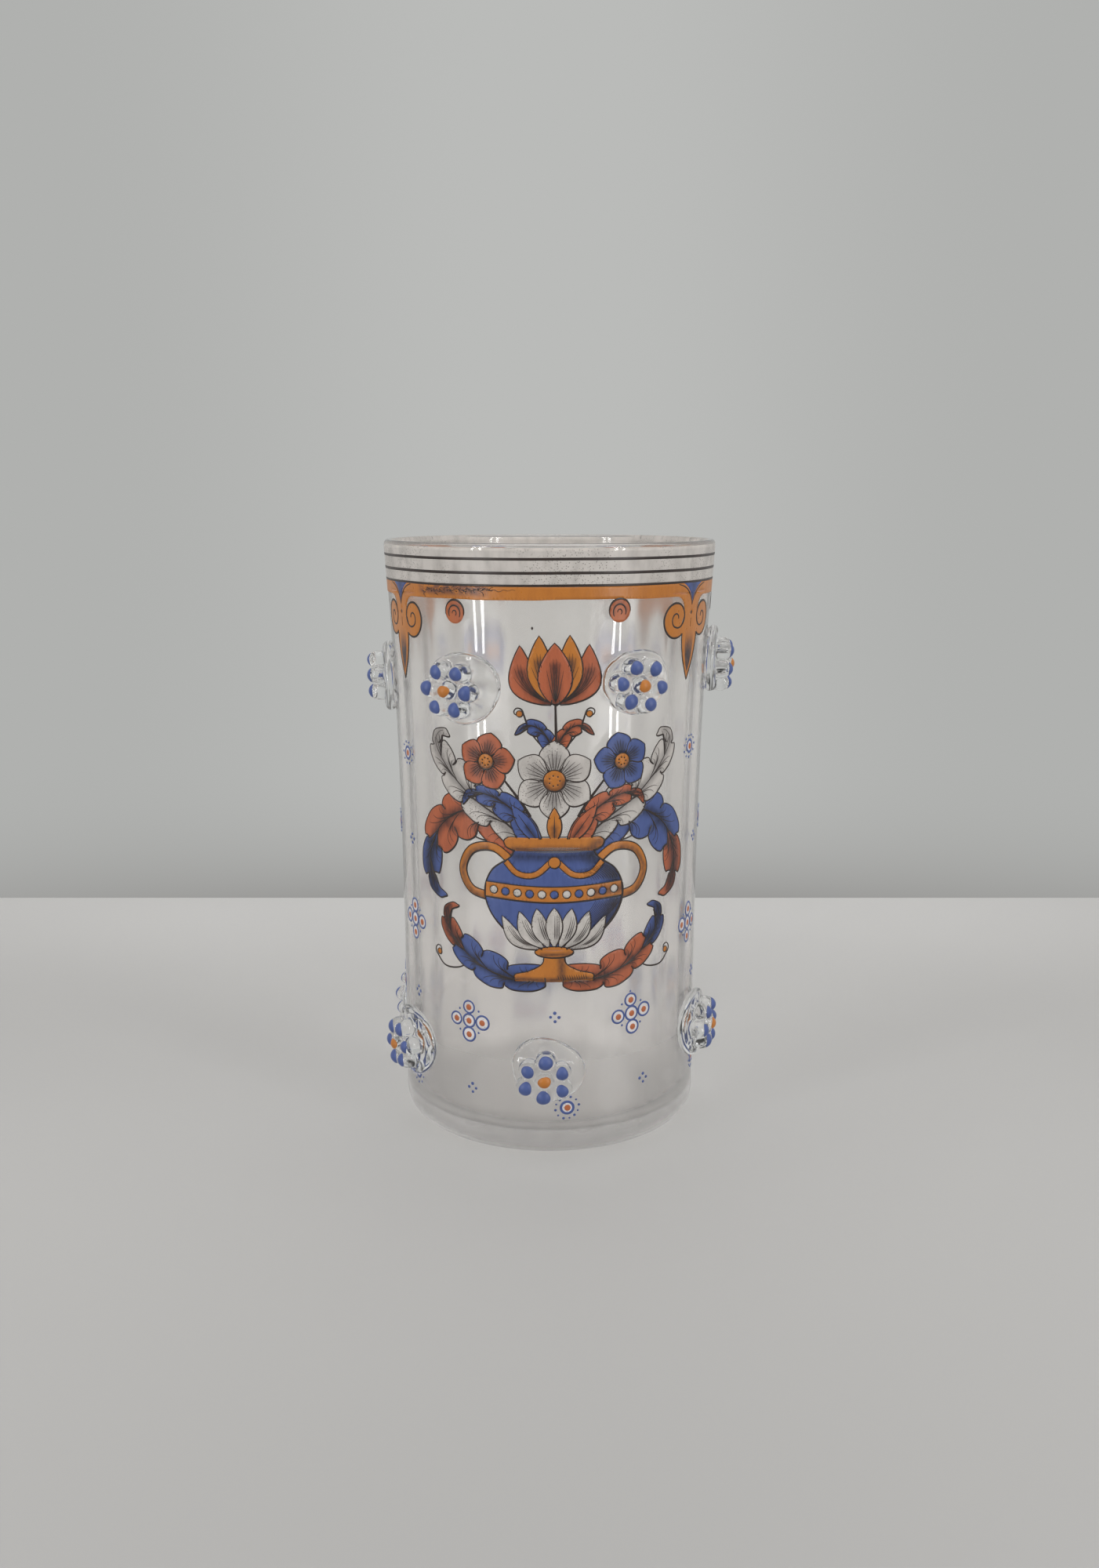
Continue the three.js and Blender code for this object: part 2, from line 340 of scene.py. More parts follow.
class Drawing:
    """Filled shapes by colour, and ink strokes. A later fill covers what is under it."""

    def __init__(self):
        self.fills = []
        self.strokes = []

    def fill(self, colour, loop, shades=()):
        """A field of one colour. Its shades are soft dark strokes: a line, a reach and a strength each."""
        loop = np.array(loop, float)
        loop = loop if turns_left(loop) > 0 else loop[::-1]
        marks = [(np.array(line, float), reach, strength) for line, reach, strength in shades]
        self.fills.append((colour, loop, marks))
        self.strokes = [part for stroke in self.strokes for part in self.uncovered(stroke, loop)]

    @staticmethod
    def uncovered(stroke, loop):
        """The parts of a stroke that a new field leaves showing."""
        line, widths = stroke
        if (line.max(0) < loop.min(0)).any() or (line.min(0) > loop.max(0)).any():
            return [stroke]
        hidden = inside(loop, line)
        if not hidden.any():
            return [stroke]
        ends = np.flatnonzero(np.diff([True, *hidden, True])).reshape(-1, 2)
        spans = [(max(0, start - 1), min(end + 1, len(line))) for start, end in ends]
        return [(line[start:end], widths[start:end]) for start, end in spans if end - start > 1]

    def ink(self, line, thick, thin, swell=0.35):
        """A brush stroke that ends thin."""
        line = np.array(line, float)
        self.strokes.append((line, brush(len(line), thick, thin, swell)))

    def outline(self, loop, thick, shade=0.35):
        """Ink round a closed loop, heavier low and right, where a lit form has its shade."""
        loop = np.array(loop, float)
        closed = np.vstack([loop, loop[:1]])
        _, left = directions(closed)
        dark = np.clip(-left * np.sign(turns_left(loop)) @ np.array([0.6, -0.8]), 0, 1)
        self.strokes.append((closed, thick * (1 + shade * (2 * dark - 0.6))))

    def shape(self, colour, loop, thick, shades=()):
        """A field with its outline."""
        self.fill(colour, loop, shades)
        self.outline(loop, thick)


def bezier(start, bend, end, count=10):
    """A simple curve from start to end, pulled towards a bend."""
    t = np.linspace(0, 1, count)[:, None]
    return (1 - t) ** 2 * np.array(start) + 2 * t * (1 - t) * np.array(bend) + t**2 * np.array(end)


# Along a lobe, out from the spine and forward, in shares of the lobe's length and reach
LOBE = ((0.0, 0.46, 0.0), (0.05, 0.84, 0.0), (0.38, 1.04, 0.0),
        (0.74, 0.98, 0.1), (0.94, 0.76, 0.12), (0.99, 0.54, 0.0))
LAST_LOBE = ((0.0, 0.5, 0.0), (0.08, 0.86, 0.0), (0.4, 0.9, 0.0),
             (0.7, 0.66, 0.0), (0.92, 0.3, 0.0), (0.99, 0.08, 0.0))

# Along a leaf's spine, in its points: its last, where the brushwork and the midrib end, how long the dark
# root is, how far before a lobe its vein leaves, and how far into a lobe its shade starts
SPINE_LAST = 160
BRUSH_END = 150
MIDRIB_END = 152
ROOT_LENGTH = 40
VEIN_LEAD = 14
NOTCH_LAG = 6


def lobed_edge(spine, ahead, left, width, lobes):
    """One edge of a leaf, as a list of rounded lobes with tight notches between them."""
    last = len(spine) - 1
    hand = math.copysign(1, width)
    edge = []
    for k in range(lobes):
        a, b = (k / lobes) ** 0.85, ((k + 1) / lobes) ** 0.85
        middle = (a + b) / 2
        reach = abs(width) * (0.46 + 0.54 * math.sin(math.pi * middle**0.8)) * (1 - 0.66 * middle**3)
        knots = []
        for t, out, forward in LOBE if k < lobes - 1 else LAST_LOBE:
            i = min(last, int(round((a + (b - a) * t) * last)))
            knots.append(spine[i] + hand * left[i] * out * reach + ahead[i] * forward * reach)
        edge.append((knots, reach, int(a * last), int(b * last)))
    return edge


def acanthus(drawing, colour, points, width, lobes=5, sides=(1.0, 1.0), tip_colour=None, tip_from=3):
    """A lobed leaf along a bent spine, with dark brushwork up its middle and flowing veins.

    From a given lobe on, the leaf may turn over and show the colour of its back.
    """
    spine = evenly(curve_through(points), SPINE_LAST + 1)
    ahead, left = directions(spine)
    edges = [lobed_edge(spine, ahead, left, width * s, lobes) for s in (sides[0], -sides[1])]
    parts = [(colour, 0)]
    if tip_colour:
        parts.append((tip_colour, tip_from))
    for part_colour, first in parts:
        outlines = []
        start = edges[0][first][2]
        shades = [(spine[start:BRUSH_END:4], width * 0.34, 0.85),
                  (spine[start:start + ROOT_LENGTH:4], width * 0.6, 0.8)]
        for edge in edges:
            knots = [knot for lobe in edge[first:] for knot in lobe[0]]
            outlines.append(curve_through([*knots, spine[-1]], 0.35))
            for knots, reach, a, _ in edge[first:]:
                notch = [spine[min(SPINE_LAST, a + NOTCH_LAG)], knots[0] * 0.6 + knots[1] * 0.4]
                shades.append((notch, reach * 0.3, 0.6))
        root = spine[int(first / lobes * SPINE_LAST * 0.96)]
        drawing.shape(part_colour, np.vstack([[root], outlines[0], outlines[1][::-1][1:]]), 0.46, shades)
    drawing.ink(spine[2:MIDRIB_END], 0.8, 0.14, 0.12)
    for knots, reach, a, b in edges[0] + edges[1]:
        root = spine[max(0, a - VEIN_LEAD)]
        veins = ((knots[2] * 0.75 + knots[4] * 0.25, 0.5, 0.42), (knots[3], 0.62, 0.36),
                 (knots[1] * 0.5 + knots[2] * 0.5, 0.4, 0.3))
        for tip, bend, size in veins:
            end = root + (tip - root) * 0.86
            middle = spine[int(a + (b - a) * bend)] * 0.7 + end * 0.3
            drawing.ink(bezier(root, middle, end, 12), size, 0.07, 0.25)


def petal(base, tip, width, bend, blunt):
    """A petal's loop from its base to its tip, bent to its left, and the line down its middle."""
    base, tip = np.array(base, float), np.array(tip, float)
    along = tip - base
    left = np.array([-along[1], along[0]]) / np.hypot(*along)
    t = np.linspace(0, 1, 17)[:, None]
    middle = base + along * t + left * (bend * np.sin(math.pi * t))
    half = width / 2 * np.clip(np.sin(math.pi * t**blunt), 0, 1) ** 0.85
    return np.vstack([middle + left * half, (middle - left * half)[::-1][1:-1]]), middle


def rosette(drawing, x, y, radius, petals, colour, heart, turn, width):
    """An open flower with a round heart."""
    centre = np.array([x, y])
    t = np.linspace(0, 1, 7)[:, None]
    for k in range(petals):
        angle = math.radians(turn + 360 * k / petals)
        ray = np.array([math.cos(angle), math.sin(angle)])
        side = np.array([-ray[1], ray[0]])
        loop, middle = petal(centre + ray * radius * 0.12, centre + ray * radius, radius * width, 0, 1.25)
        drawing.shape(colour, loop, 0.44, [(middle[:8], radius * 0.34, 0.8)])
        for shift in (-0.26, -0.16, -0.06, 0.06, 0.16, 0.26):
            start = centre + (ray * 0.26 + side * shift * 0.4) * radius
            end = centre + (ray * (0.8 - 0.9 * abs(shift)) + side * shift) * radius
            drawing.ink(start + (end - start) * t, 0.32, 0.06, 0.2)
    shade = oval(x, y, radius * 0.25, radius * 0.25, 12, 200, 150)
    drawing.shape(heart, oval(x, y, radius * 0.27, radius * 0.27, 28), 0.5, [(shade, radius * 0.16, 0.7)])
    for k in range(7):
        angle = 2 * math.pi * k / 7
        right, up = 0.13 * radius * math.cos(angle), 0.13 * radius * math.sin(angle)
        drawing.fill("ink", oval(x + right, y + up, 0.28, 0.28, 7))


def leaning(x, y, size, lean):
    """A function that puts a unit outline at a place, enlarged and leaning to the right by degrees."""
    turn = math.radians(lean)
    spin = np.array([[math.cos(turn), math.sin(turn)], [-math.sin(turn), math.cos(turn)]])
    return lambda loop: np.array(loop) * size @ spin + [x, y]


def tulip(drawing, x, y, size, lean, colour, edge):
    """A cup of five petals."""
    put = leaning(x, y, size, lean)
    petals = (
        ((-0.08, 0), (-0.62, 1.12), 0.56, 0.24, colour),
        ((0.08, 0), (0.62, 1.12), 0.56, -0.24, colour),
        ((0, 0), (-0.27, 1.3), 0.5, 0.12, edge),
        ((0, 0), (0.27, 1.3), 0.5, -0.12, edge),
        ((0, -0.02), (0, 1.16), 0.62, 0, colour),
    )
    for base, tip, width, bend, pigment_name in petals:
        loop, middle = petal(base, tip, width, bend, 0.85)
        drawing.shape(pigment_name, put(loop), 0.46, [(put(middle)[:11], size * 0.16, 0.85)])
        for shift in (-0.15, -0.09, -0.03, 0.03, 0.09, 0.15):
            line = put(middle)[1:13 - int(abs(shift) * 22)]
            t = np.linspace(0, 1, len(line))[:, None]
            drawing.ink(line + np.array([shift * size, 0]) * t**0.7, 0.34, 0.06, 0.15)


def tendril(drawing, points, hand, curl):
    """A thin stem that ends in a curl with a gold berry. Hand is 1 where it curls to its left."""
    line = curve_through(points)
    ahead = line[-1] - line[-3]
    heading = math.degrees(math.atan2(ahead[1], ahead[0]))
    across = math.radians(heading + 90 * hand)
    x, y = line[-1] + curl * np.array([math.cos(across), math.sin(across)])
    wound = spiral(x, y, curl, 0.7, 0.85, heading - 90 * hand, hand, 26)
    drawing.ink(np.vstack([line, wound[1:]]), 0.62, 0.22, 0.3)
    drawing.shape("gold", oval(*wound[-1], 1.0, 1.0, 14), 0.34)


def urn(drawing, foot):
    """A footed jar in blue with gold mounts, scroll handles, white flutes and gold swags."""
    def up(points):
        """Points over the jar's foot."""
        return [(x, foot + y) for x, y in points]

    handle = ((13, 39.5), (19.5, 44), (27, 42.6), (30.5, 36), (27.5, 29.6), (20, 27.5))
    for side in (-1, 1):
        line = curve_through(up([(side * x, y) for x, y in handle]))
        drawing.shape("gold", strap(line, 1.35), 0.5, [(line[20:] - [0, 0.8], 1.2, 0.7)])
    base = mirrored(up([(-12.8, 0), (-12.6, 2.3), (-8.2, 3.6), (-4.0, 6.0), (-3.2, 9)]))
    base_shades = [(up([(-12, 0.6), (12, 0.6)]), 1.3, 0.8), (up([(2.4, 2), (2.2, 9)]), 2.2, 0.75)]
    drawing.shape("gold", base, 0.55, base_shades)
    half_bowl = [(-5, 10.5), (-13.5, 15), (-20.3, 22), (-22.6, 29.5), (-20, 36.5), (-14, 41), (-12.4, 44)]
    shade = curve_through(up([(12, 42), (18.4, 36), (20.6, 29), (18, 21.6), (12, 15.5)]))
    bowl_shades = [(shade, 5.5, 0.9), (up([(-12, 41.6), (12, 41.6)]), 3.0, 0.75)]
    drawing.shape("blue", mirrored(up(half_bowl)), 0.8, bowl_shades)
    t = np.linspace(0, 1, 6)
    for j in range(13):
        upper = np.stack([21.6 - 0.8 * j - 5.2 * t**1.6, foot + 33.4 + (5 - 0.1 * j) * t], 1)
        lower = np.stack([21.8 - 0.7 * j - 4.6 * t - 2 * t**2, foot + 26.6 - (7 + 0.1 * j) * t], 1)
        drawing.ink(upper, 0.42 - 0.02 * j, 0.06, 0.2)
        drawing.ink(lower, 0.42 - 0.02 * j, 0.06, 0.2)
        drawing.ink(np.stack([10.6 - 0.75 * j - 0.5 * t, foot + 0.6 + 1.7 * t], 1), 0.3, 0.1)
    for k in (-3, 3, -2, 2, -1, 1, 0):
        base, tip = (1.3 * k, foot + 10.8), (5.6 * k, foot + 24.8 - 0.35 * k * k)
        loop, middle = petal(base, tip, 5.4 - 0.26 * abs(k), -0.9 * k, 1.2)
        drawing.shape("white", loop, 0.44, [(middle[:9] + [0.8, 0], 1.7, 0.6)])
        for shift in (0.2, 0.9, 1.5):
            drawing.ink(middle[4:14] + [shift, 0], 0.34, 0.06, 0.25)
    drawing.shape("gold", oval(0, foot + 10, 6.2, 1.9, 30), 0.5, [(up([(-4, 9), (5, 9.4)]), 1.2, 0.7)])
    girdle = np.vstack([curve_through(up([(-22.5, 27.6), (0, 26.4), (22.5, 27.6)])),
                        curve_through(up([(22.2, 32.6), (0, 31.6), (-22.2, 32.6)]))])
    drawing.shape("gold", girdle, 0.55, [(up([(12, 29.4), (22, 30)]), 2.6, 0.7)])
    for k in range(-5, 6):
        y = foot + 29.1 + 0.04 * k * k
        drawing.shape("white" if k % 2 else "blue", oval(3.9 * k, y, 1.3, 1.3, 16), 0.34)
    for side in (-1, 1):
        swag = up([(side * x, y) for x, y in ((1, 39.8), (6, 35.6), (11.5, 35.8), (15.4, 39.6))])
        drawing.shape("gold", strap(curve_through(swag), 0.95), 0.36)
    drawing.shape("gold", oval(0, foot + 39.6, 1.9, 1.9, 18), 0.4)
    lip = np.vstack([curve_through(up([(-12.6, 43.2), (-15.2, 44.4), (-15.9, 46.4), (-14.6, 47.6)])),
                     curve_through(up([(14.6, 47.6), (15.9, 46.4), (15.2, 44.4), (12.6, 43.2)]))])
    lip_shades = [(up([(-13, 43.8), (13, 43.8)]), 1.5, 0.75), (up([(12, 45), (15, 46)]), 2.4, 0.6)]
    drawing.shape("gold", lip, 0.55, lip_shades)


def jar_of_flowers():
    """The picture on the front: blooms fan out over a jar, and long leaves hang at both sides."""
    drawing = Drawing()
    for side, first, second in ((-1, "rust", "blue"), (1, "blue", "rust")):
        def turned(points):
            """Points on this side of the picture."""
            return [(side * x, y) for x, y in points]

        even = (1.0, 0.75) if side > 0 else (0.75, 1.0)
        back = (even[1], even[0])
        tendril(drawing, turned([(11, 109), (22, 107), (29.5, 109.4)]), -side, 1.9)
        tendril(drawing, turned([(28, 66), (33, 63), (39, 62.6), (43, 66)]), side, 2.0)
        drawing.ink(curve_through(turned([(3, 106), (9, 118), (18, 130)])), 1.1, 0.5)
        foot_leaf = [(3, 62.5), (12, 61.5), (22, 64), (31, 69.5), (37.5, 77), (37, 83), (32.5, 84)]
        acanthus(drawing, second, turned(foot_leaf), 6.6, 5, even, first, 3)
        hanging = [(10, 107), (20, 114.5), (31, 115.5), (41, 108), (45.5, 97), (43, 88), (37.5, 86.5)]
        acanthus(drawing, first, turned(hanging), 9.4, 5, back, second, 3)
        rising = [(8, 107), (17, 114.5), (27, 121), (36, 129.5), (40.5, 137), (38, 141), (34.5, 139.5)]
        acanthus(drawing, "white", turned(rising), 8.4, 5, even)
        low = [(6, 107), (12, 116.5), (20, 121.5), (27.5, 122), (30, 118)]
        acanthus(drawing, second, turned(low), 5.0, 4, back)
        rosette(drawing, side * 21.5, 132.5, 9.4, 5, first, "gold", 90 + side * 12, 0.88)
        tendril(drawing, turned([(4, 138), (7.5, 143), (9.6, 149)]), -side, 1.6)
        acanthus(drawing, second, turned([(0, 137), (4, 143), (8.5, 144.5), (12, 141.5)]), 3.2, 3, back)
    drawing.ink(curve_through([(0, 106), (0.6, 130), (0.2, 153)]), 1.3, 0.6)
    tulip(drawing, 0.3, 151, 16.5, 1, "rust", "gold")
    rosette(drawing, 0, 127, 12.8, 6, "white", "gold", 90, 0.72)
    for x, lean, colour in ((-9.5, 40, "blue"), (9.5, -40, "rust"), (0, 0, "gold")):
        top = 119 if x else 118.5
        loop, middle = petal((x * 0.5, 107), (x - 6 * math.sin(math.radians(lean)), top), 4.6, 0, 0.9)
        drawing.shape(colour, loop, 0.44, [(middle[:8], 1.6, 0.8)])
        drawing.ink(middle[2:13], 0.45, 0.1)
    urn(drawing, 61)
    return drawing


# The painted border under the rim. Angles are degrees from the front, and heights are millimetres. A pendant
# has its breadth and its lean beside its angle, a disc its height, and a ring its height and width.

BORDER_RADIUS = 55.0
BORDER_SEAM = 150.0
PENDANTS = ((-61.1, 0.86, -0.5), (57.0, 1.0, -1.2), (124.0, 0.95, 0.6), (-118.0, 0.95, -0.6))
DISCS = ((-32.7, 179.0), (23.4, 179.7), (89.0, 179.2), (-92.0, 178.8), (-158.0, 179.4), (153.0, 179.1))
GROUND = (187.2, 198.7)
RINGS = ((195.4, 0.95), (191.2, 1.0), (187.4, 0.85))
BAND_COLUMNS = 288
BAND_LOW = 183.05
BAND_HIGH = 187.1

# The scribbles on the worn stretch of the band: where they start and end, and the step from one to the next
SCRIBBLES_FROM = -47.0
SCRIBBLES_TO = -20.0
SCRIBBLE_STEP = 0.55
SCRIBBLE_SEED = 7

# The winding of a volute: degrees turned from its foot, and its radius in millimetres
VOLUTE = ((0, 6.1), (125, 6.0), (215, 4.9), (305, 4.3), (395, 2.7), (485, 2.1), (575, 1.6), (660, 0.9))
VOLUTE_START = -55.0
PENDANT_DROP = 30
PENDANT_ARM = ((13, -3.8), (8.6, -4.1), (5.8, -5.4), (4.4, -7.9), (4.1, -11))


def border_x(angle):
    """The arc length in millimetres of an angle in degrees, on the unrolled border."""
    return math.radians(angle) * BORDER_RADIUS


def volute(x, y, side):
    """The line of a volute that winds inwards, from its foot beside the pendant's body."""
    turned, radius = np.array(VOLUTE).T
    along = np.linspace(0, turned[-1], 84)
    angle = np.radians(VOLUTE_START - along)
    reach = np.interp(along, turned, radius)
    return np.stack([x - side * reach * np.cos(angle), y + reach * np.sin(angle)], 1)


def scroll_pendant(drawing, angle, broad, lean):
    """Two arms from the band curl out into volutes over a leaf, with a blue wedge between them."""
    def put(points):
        """Points of the pendant at its place, leaning."""
        points = np.array(points, float) * [broad, 1]
        points[:, 0] += lean * points[:, 1] / -PENDANT_DROP
        return points + [border_x(angle), BAND_HIGH]

    half_leaf = [(-4.0, -14), (-4.7, -16.4), (-4.5, -19), (-3.3, -24), (-1.3, -28.4), (0, -31)]
    half_core = [(0, -12.5), (-2.1, -14.5), (-2.6, -17.5), (-2.3, -21.5), (-1.4, -25.4), (0, -28.6)]
    dusk = [(put([(0, -22.6), (0, -27)]), 8.6, 1.0)]
    drawing.shape("gold", put(mirrored(half_leaf)), 0.5)
    drawing.fill("gold", put(mirrored(half_core)), dusk)
    for side in (-1, 1):
        wound = volute(side * 8.4, -11.1, side)
        first_turn = int(len(wound) * 360 / VOLUTE[-1][0])
        disc = np.vstack([wound[:first_turn], [[side * 4.2, -10.0], [side * 3.6, -15.4]]])
        arm = curve_through([(side * x, y) for x, y in PENDANT_ARM])
        rest = [(side * 4.1, -15.0), (0, -16.5), (0, -3), (side * 13, -3)]
        drawing.fill("gold", put(disc))
        drawing.fill("gold", put(np.vstack([arm, rest])))
        drawing.ink(put(wound), 0.8, 0.6, 0.2)
    drawing.fill("gold", put(oval(0, -13.6, 4.1, 3.2, 26)), dusk)
    wedge_left = bezier((-6.2, 0.1), (-1.4, -1.6), (0, -6.1))
    wedge_right = bezier((0, -6.1), (1.4, -1.6), (6.2, 0.1))
    wedge_shades = [(put([(0.3, -0.2), (0.1, -3.4)]), 2.6, 0.5), (put([(-3, -0.4), (3, -0.3)]), 0.8, 0.4)]
    drawing.fill("blue", put(np.vstack([wedge_left, wedge_right[1:]])), wedge_shades)
    for side in (-1, 1):
        drawing.ink(put(bezier((side * 8.6, -0.3), (side * 1.5, -1.3), (0, -7.0), 16)), 0.62, 0.32, 0.6)
    drawing.fill("ink", put([(0, -8.6), (-0.6, -9.4), (0, -10.2), (0.6, -9.4)]))
    drawing.ink(put([(0.1, -11.2), (0, -12.5), (0.1, -14)]), 0.2, 0.08)


def coral_disc(drawing, angle, height, number):
    """A round coral spot with two turned strokes, darker on top."""
    x = border_x(angle)
    wide, tall = 3.5 + 0.1 * (number % 3), 3.65
    shades = [(oval(x, height + 0.2, 2.3, 2.3, 20, 10, 190), 0.7, 0.5)]
    drawing.fill("coral", oval(x, height, wide, tall, 34), shades)
    drawing.ink(oval(x, height, wide, tall, 34, -18 + 12 * number, 215), 0.85, 0.16, 0.5)
    drawing.ink(oval(x - 0.1, height - 0.4, 2.15, 2.4, 26, -30 + 9 * number, 235), 0.72, 0.34, 0.5)
    drawing.ink(oval(x - 0.1, height - 0.4, 0.75, 0.85, 16, -60, 250), 0.55, 0.26, 0.5)


def scribbles(drawing):
    """Ragged dark remains of a drawn line along the worn top of the band."""
    pen = np.random.default_rng(SCRIBBLE_SEED)
    start, end = border_x(SCRIBBLES_FROM), border_x(SCRIBBLES_TO)
    for x in np.arange(start, end, SCRIBBLE_STEP):
        fading = 1 - (x - start) / (end - start)
        y = 186.3 - 1.3 * pen.random() * (0.4 + fading)
        steps = np.cumsum(pen.normal(0, 0.28, (6, 2)) + [0.22, 0.0], axis=0)
        drawing.ink(steps + [x, y], 0.22 + 0.2 * pen.random(), 0.08, 0.4)
    x = np.linspace(border_x(-30), border_x(-11), 40)
    drawing.ink(np.stack([x, 185.9 + 0.22 * np.sin(x * 2.1) + 0.15 * np.sin(x * 0.9)], 1), 0.3, 0.08, 0.3)


def border_drawing():
    """The gold band, its pendants, its worn stretch and the coral discs under it."""
    drawing = Drawing()
    start, end = border_x(BORDER_SEAM - 360), border_x(BORDER_SEAM)
    x = np.linspace(start, end, 361)
    turn = x / BORDER_RADIUS
    low = BAND_LOW + 0.16 * np.sin(3 * turn + 0.8) + 0.1 * np.sin(7 * turn) + 0.05 * np.sin(19 * turn)
    drawing.fill("gold", np.vstack([np.stack([x, low], 1), np.stack([x[::-1], 0 * x + BAND_HIGH], 1)]))
    scribbles(drawing)
    for angle, broad, lean in PENDANTS:
        scroll_pendant(drawing, angle, broad, lean)
    for number, (angle, height) in enumerate(DISCS):
        coral_disc(drawing, angle, height, number)
    drawing.fill("ink", oval(border_x(-5.6), 174.6, 0.35, 0.5, 9))
    return drawing


# Raising the drawings on the wall

# The spacing of the lattice of points in millimetres, and its rows' spacing as a share of it
LATTICE = 1.2
LATTICE_ROW = 0.87

# Points nearer than this in millimetres are one
SAME_POINT = 1e-4

# Strokes that cross lie at slightly different heights, in turn
STROKE_LEVELS = 9
STROKE_STEP = 1e-6


def shade_at(points, shades):
    """How dark the soft brush strokes leave each point, from 0 to 1."""
    light = np.ones(len(points))
    for line, reach, strength in shades:
        start, along = line[:-1], np.diff(line, axis=0)
        away = points[:, None] - start
        t = np.clip((away * along).sum(2) / ((along**2).sum(1) + TINY), 0, 1)
        gap = np.linalg.norm(away - t[..., None] * along, axis=2).min(1)
        fade = np.clip(1 - gap / reach, 0, 1)
        light *= 1 - strength * fade**2 * (3 - 2 * fade)
    return 1 - light


def colour_fields(fills, spacing):
    """Cuts overlapping fields into small triangles, each with the number of the uppermost field over it.

    A lattice of points between the outlines keeps the triangles small, so that they follow the wall and the
    shades.
    """
    points, faces = [], []
    for _, loop, _ in fills:
        faces.append(list(range(len(points), len(points) + len(loop))))
        points.extend(Vector(p) for p in loop)
    low = np.min([loop.min(0) for _, loop, _ in fills], 0)
    high = np.max([loop.max(0) for _, loop, _ in fills], 0)
    boxes = np.array([(loop.min(0), loop.max(0)) for _, loop, _ in fills])
    for row, y in enumerate(np.arange(low[1], high[1], spacing * LATTICE_ROW)):
        across = boxes[(boxes[:, 0, 1] < y) & (boxes[:, 1, 1] > y)][:, :, 0]
        for x in np.arange(low[0] + spacing / 2 * (row % 2), high[0], spacing):
            if ((across[:, 0] < x) & (across[:, 1] > x)).any():
                points.append(Vector((x, y)))
    inside_only = 1
    corners, _, triangles, _, _, owners = delaunay_2d_cdt(points, [], faces, inside_only, SAME_POINT, True)
    by_colour = {}
    for triangle, owner in zip(triangles, owners):
        if owner:
            by_colour.setdefault(fills[max(owner)][0], []).append((tuple(triangle), max(owner)))
    return np.array([tuple(c) for c in corners]), by_colour


def field_tones(corners, triangles, fills):
    """The shade of each corner in each field."""
    used = {}
    for triangle, field in triangles:
        used.setdefault(field, set()).update(triangle)
    tones = {}
    for field, numbers in used.items():
        numbers = sorted(numbers)
        tones.update(zip(((field, i) for i in numbers), shade_at(corners[numbers], fills[field][2])))
    return tones


def raised_field(corners, triangles, tones, place, low, high, under):
    """Points and faces of a thin closed layer over flat triangles, and the shade at each face's corners.

    The underside, which shows through the glass from the far side, is darkened by the share under: painted
    shade, as less light reaches it there.
    """
    used = sorted({i for triangle, _ in triangles for i in triangle})
    flat = corners[used]
    base, top = place(flat, low), place(flat, high)
    keys, owner = np.unique(np.round(base, 8), axis=0, return_inverse=True)
    first = np.zeros(len(keys), int)
    first[owner.ravel()] = np.arange(len(used))
    number = dict(zip(used, owner.ravel().tolist()))
    base, top, count = base[first], top[first], len(keys)
    faces, shades, rims = [], [], {}
    for triangle, field in triangles:
        a, b, c = (number[i] for i in triangle)
        if len({a, b, c}) < 3:
            continue
        p, q, r = (tones[field, i] for i in triangle)
        faces += [(a + count, b + count, c + count), (c, b, a)]
        # The underside's corners get painted shade by the share under
        shades += [p, q, r, *(under + (1 - under) * tone for tone in (r, q, p))]
        rims.update({(a, b): (p, q), (b, c): (q, r), (c, a): (r, p)})
    for (a, b), (p, q) in rims.items():
        if (b, a) not in rims:
            faces.append((a, b, b + count, a + count))
            shades += [p, q, q, p]
    return np.vstack([base, top]), faces, shades


def raised_strokes(strokes, place, low, high):
    """Points and faces of ink strokes: each a closed ridge, flat on top."""
    points, faces = [], []
    for number, (line, widths) in enumerate(strokes):
        apart = np.hypot(*np.diff(line, axis=0).T) > SAME_POINT
        keep = np.concatenate([[True], apart])
        line, widths = line[keep], np.array(widths)[keep]
        if len(line) < 2:
            continue
        _, left = directions(line)
        half = left * widths[:, None] / 2
        level = high + (number % STROKE_LEVELS) * STROKE_STEP
        rails = [place(line + half, low), place(line - half, low),
                 place(line - half * 0.6, level), place(line + half * 0.6, level)]
        start = len(points)
        points.extend(np.stack(rails, 1).reshape(-1, 3))
        end = len(points) - 4
        faces.extend(start + ring_faces(len(line), 4, False))
        faces.append((start + 3, start + 2, start + 1, start))
        faces.append((end, end + 1, end + 2, end + 3))
    return np.array(points), faces


def paint_drawing(context, drawing, name, place, materials, under):
    """Makes a piece for each colour of a drawing and one for its ink."""
    enamel = context.scene.vase_enamel
    corners, by_colour = colour_fields(drawing.fills, LATTICE)
    for colour, triangles in sorted(by_colour.items()):
        tones = field_tones(corners, triangles, drawing.fills)
        points, faces, shades = raised_field(
            corners, triangles, tones, place, enamel.lift, enamel.lift + enamel.coat, under)
        obj = new_object(f"{name}_{colour}", points, faces)
        mark(obj, "shade", shades, "CORNER")
        settle(obj, ENAMEL_SLOTS[colour], material=materials[colour])
    points, faces = raised_strokes(drawing.strokes, place, enamel.lift, enamel.lift + enamel.line)
    settle(new_object(f"{name}_lines", points, faces), "enamel_black", material=materials["ink"])


# Node trees

def add(tree, kind, settings=None, **values):
    """Adds a node, sets its settings, and sets or links its inputs.

    An input is given by its name, with underscores for spaces, or by an underscore and its number.
    """
    node = tree.nodes.new(kind)
    for key, value in (settings or {}).items():
        setattr(node, key, value)
    for key, value in values.items():
        socket = node.inputs[int(key[1:]) if key[1:].isdigit() else key.replace("_", " ")]
        if isinstance(value, bpy.types.NodeSocket):
            tree.links.new(value, socket)
        else:
            socket.default_value = value
    return node


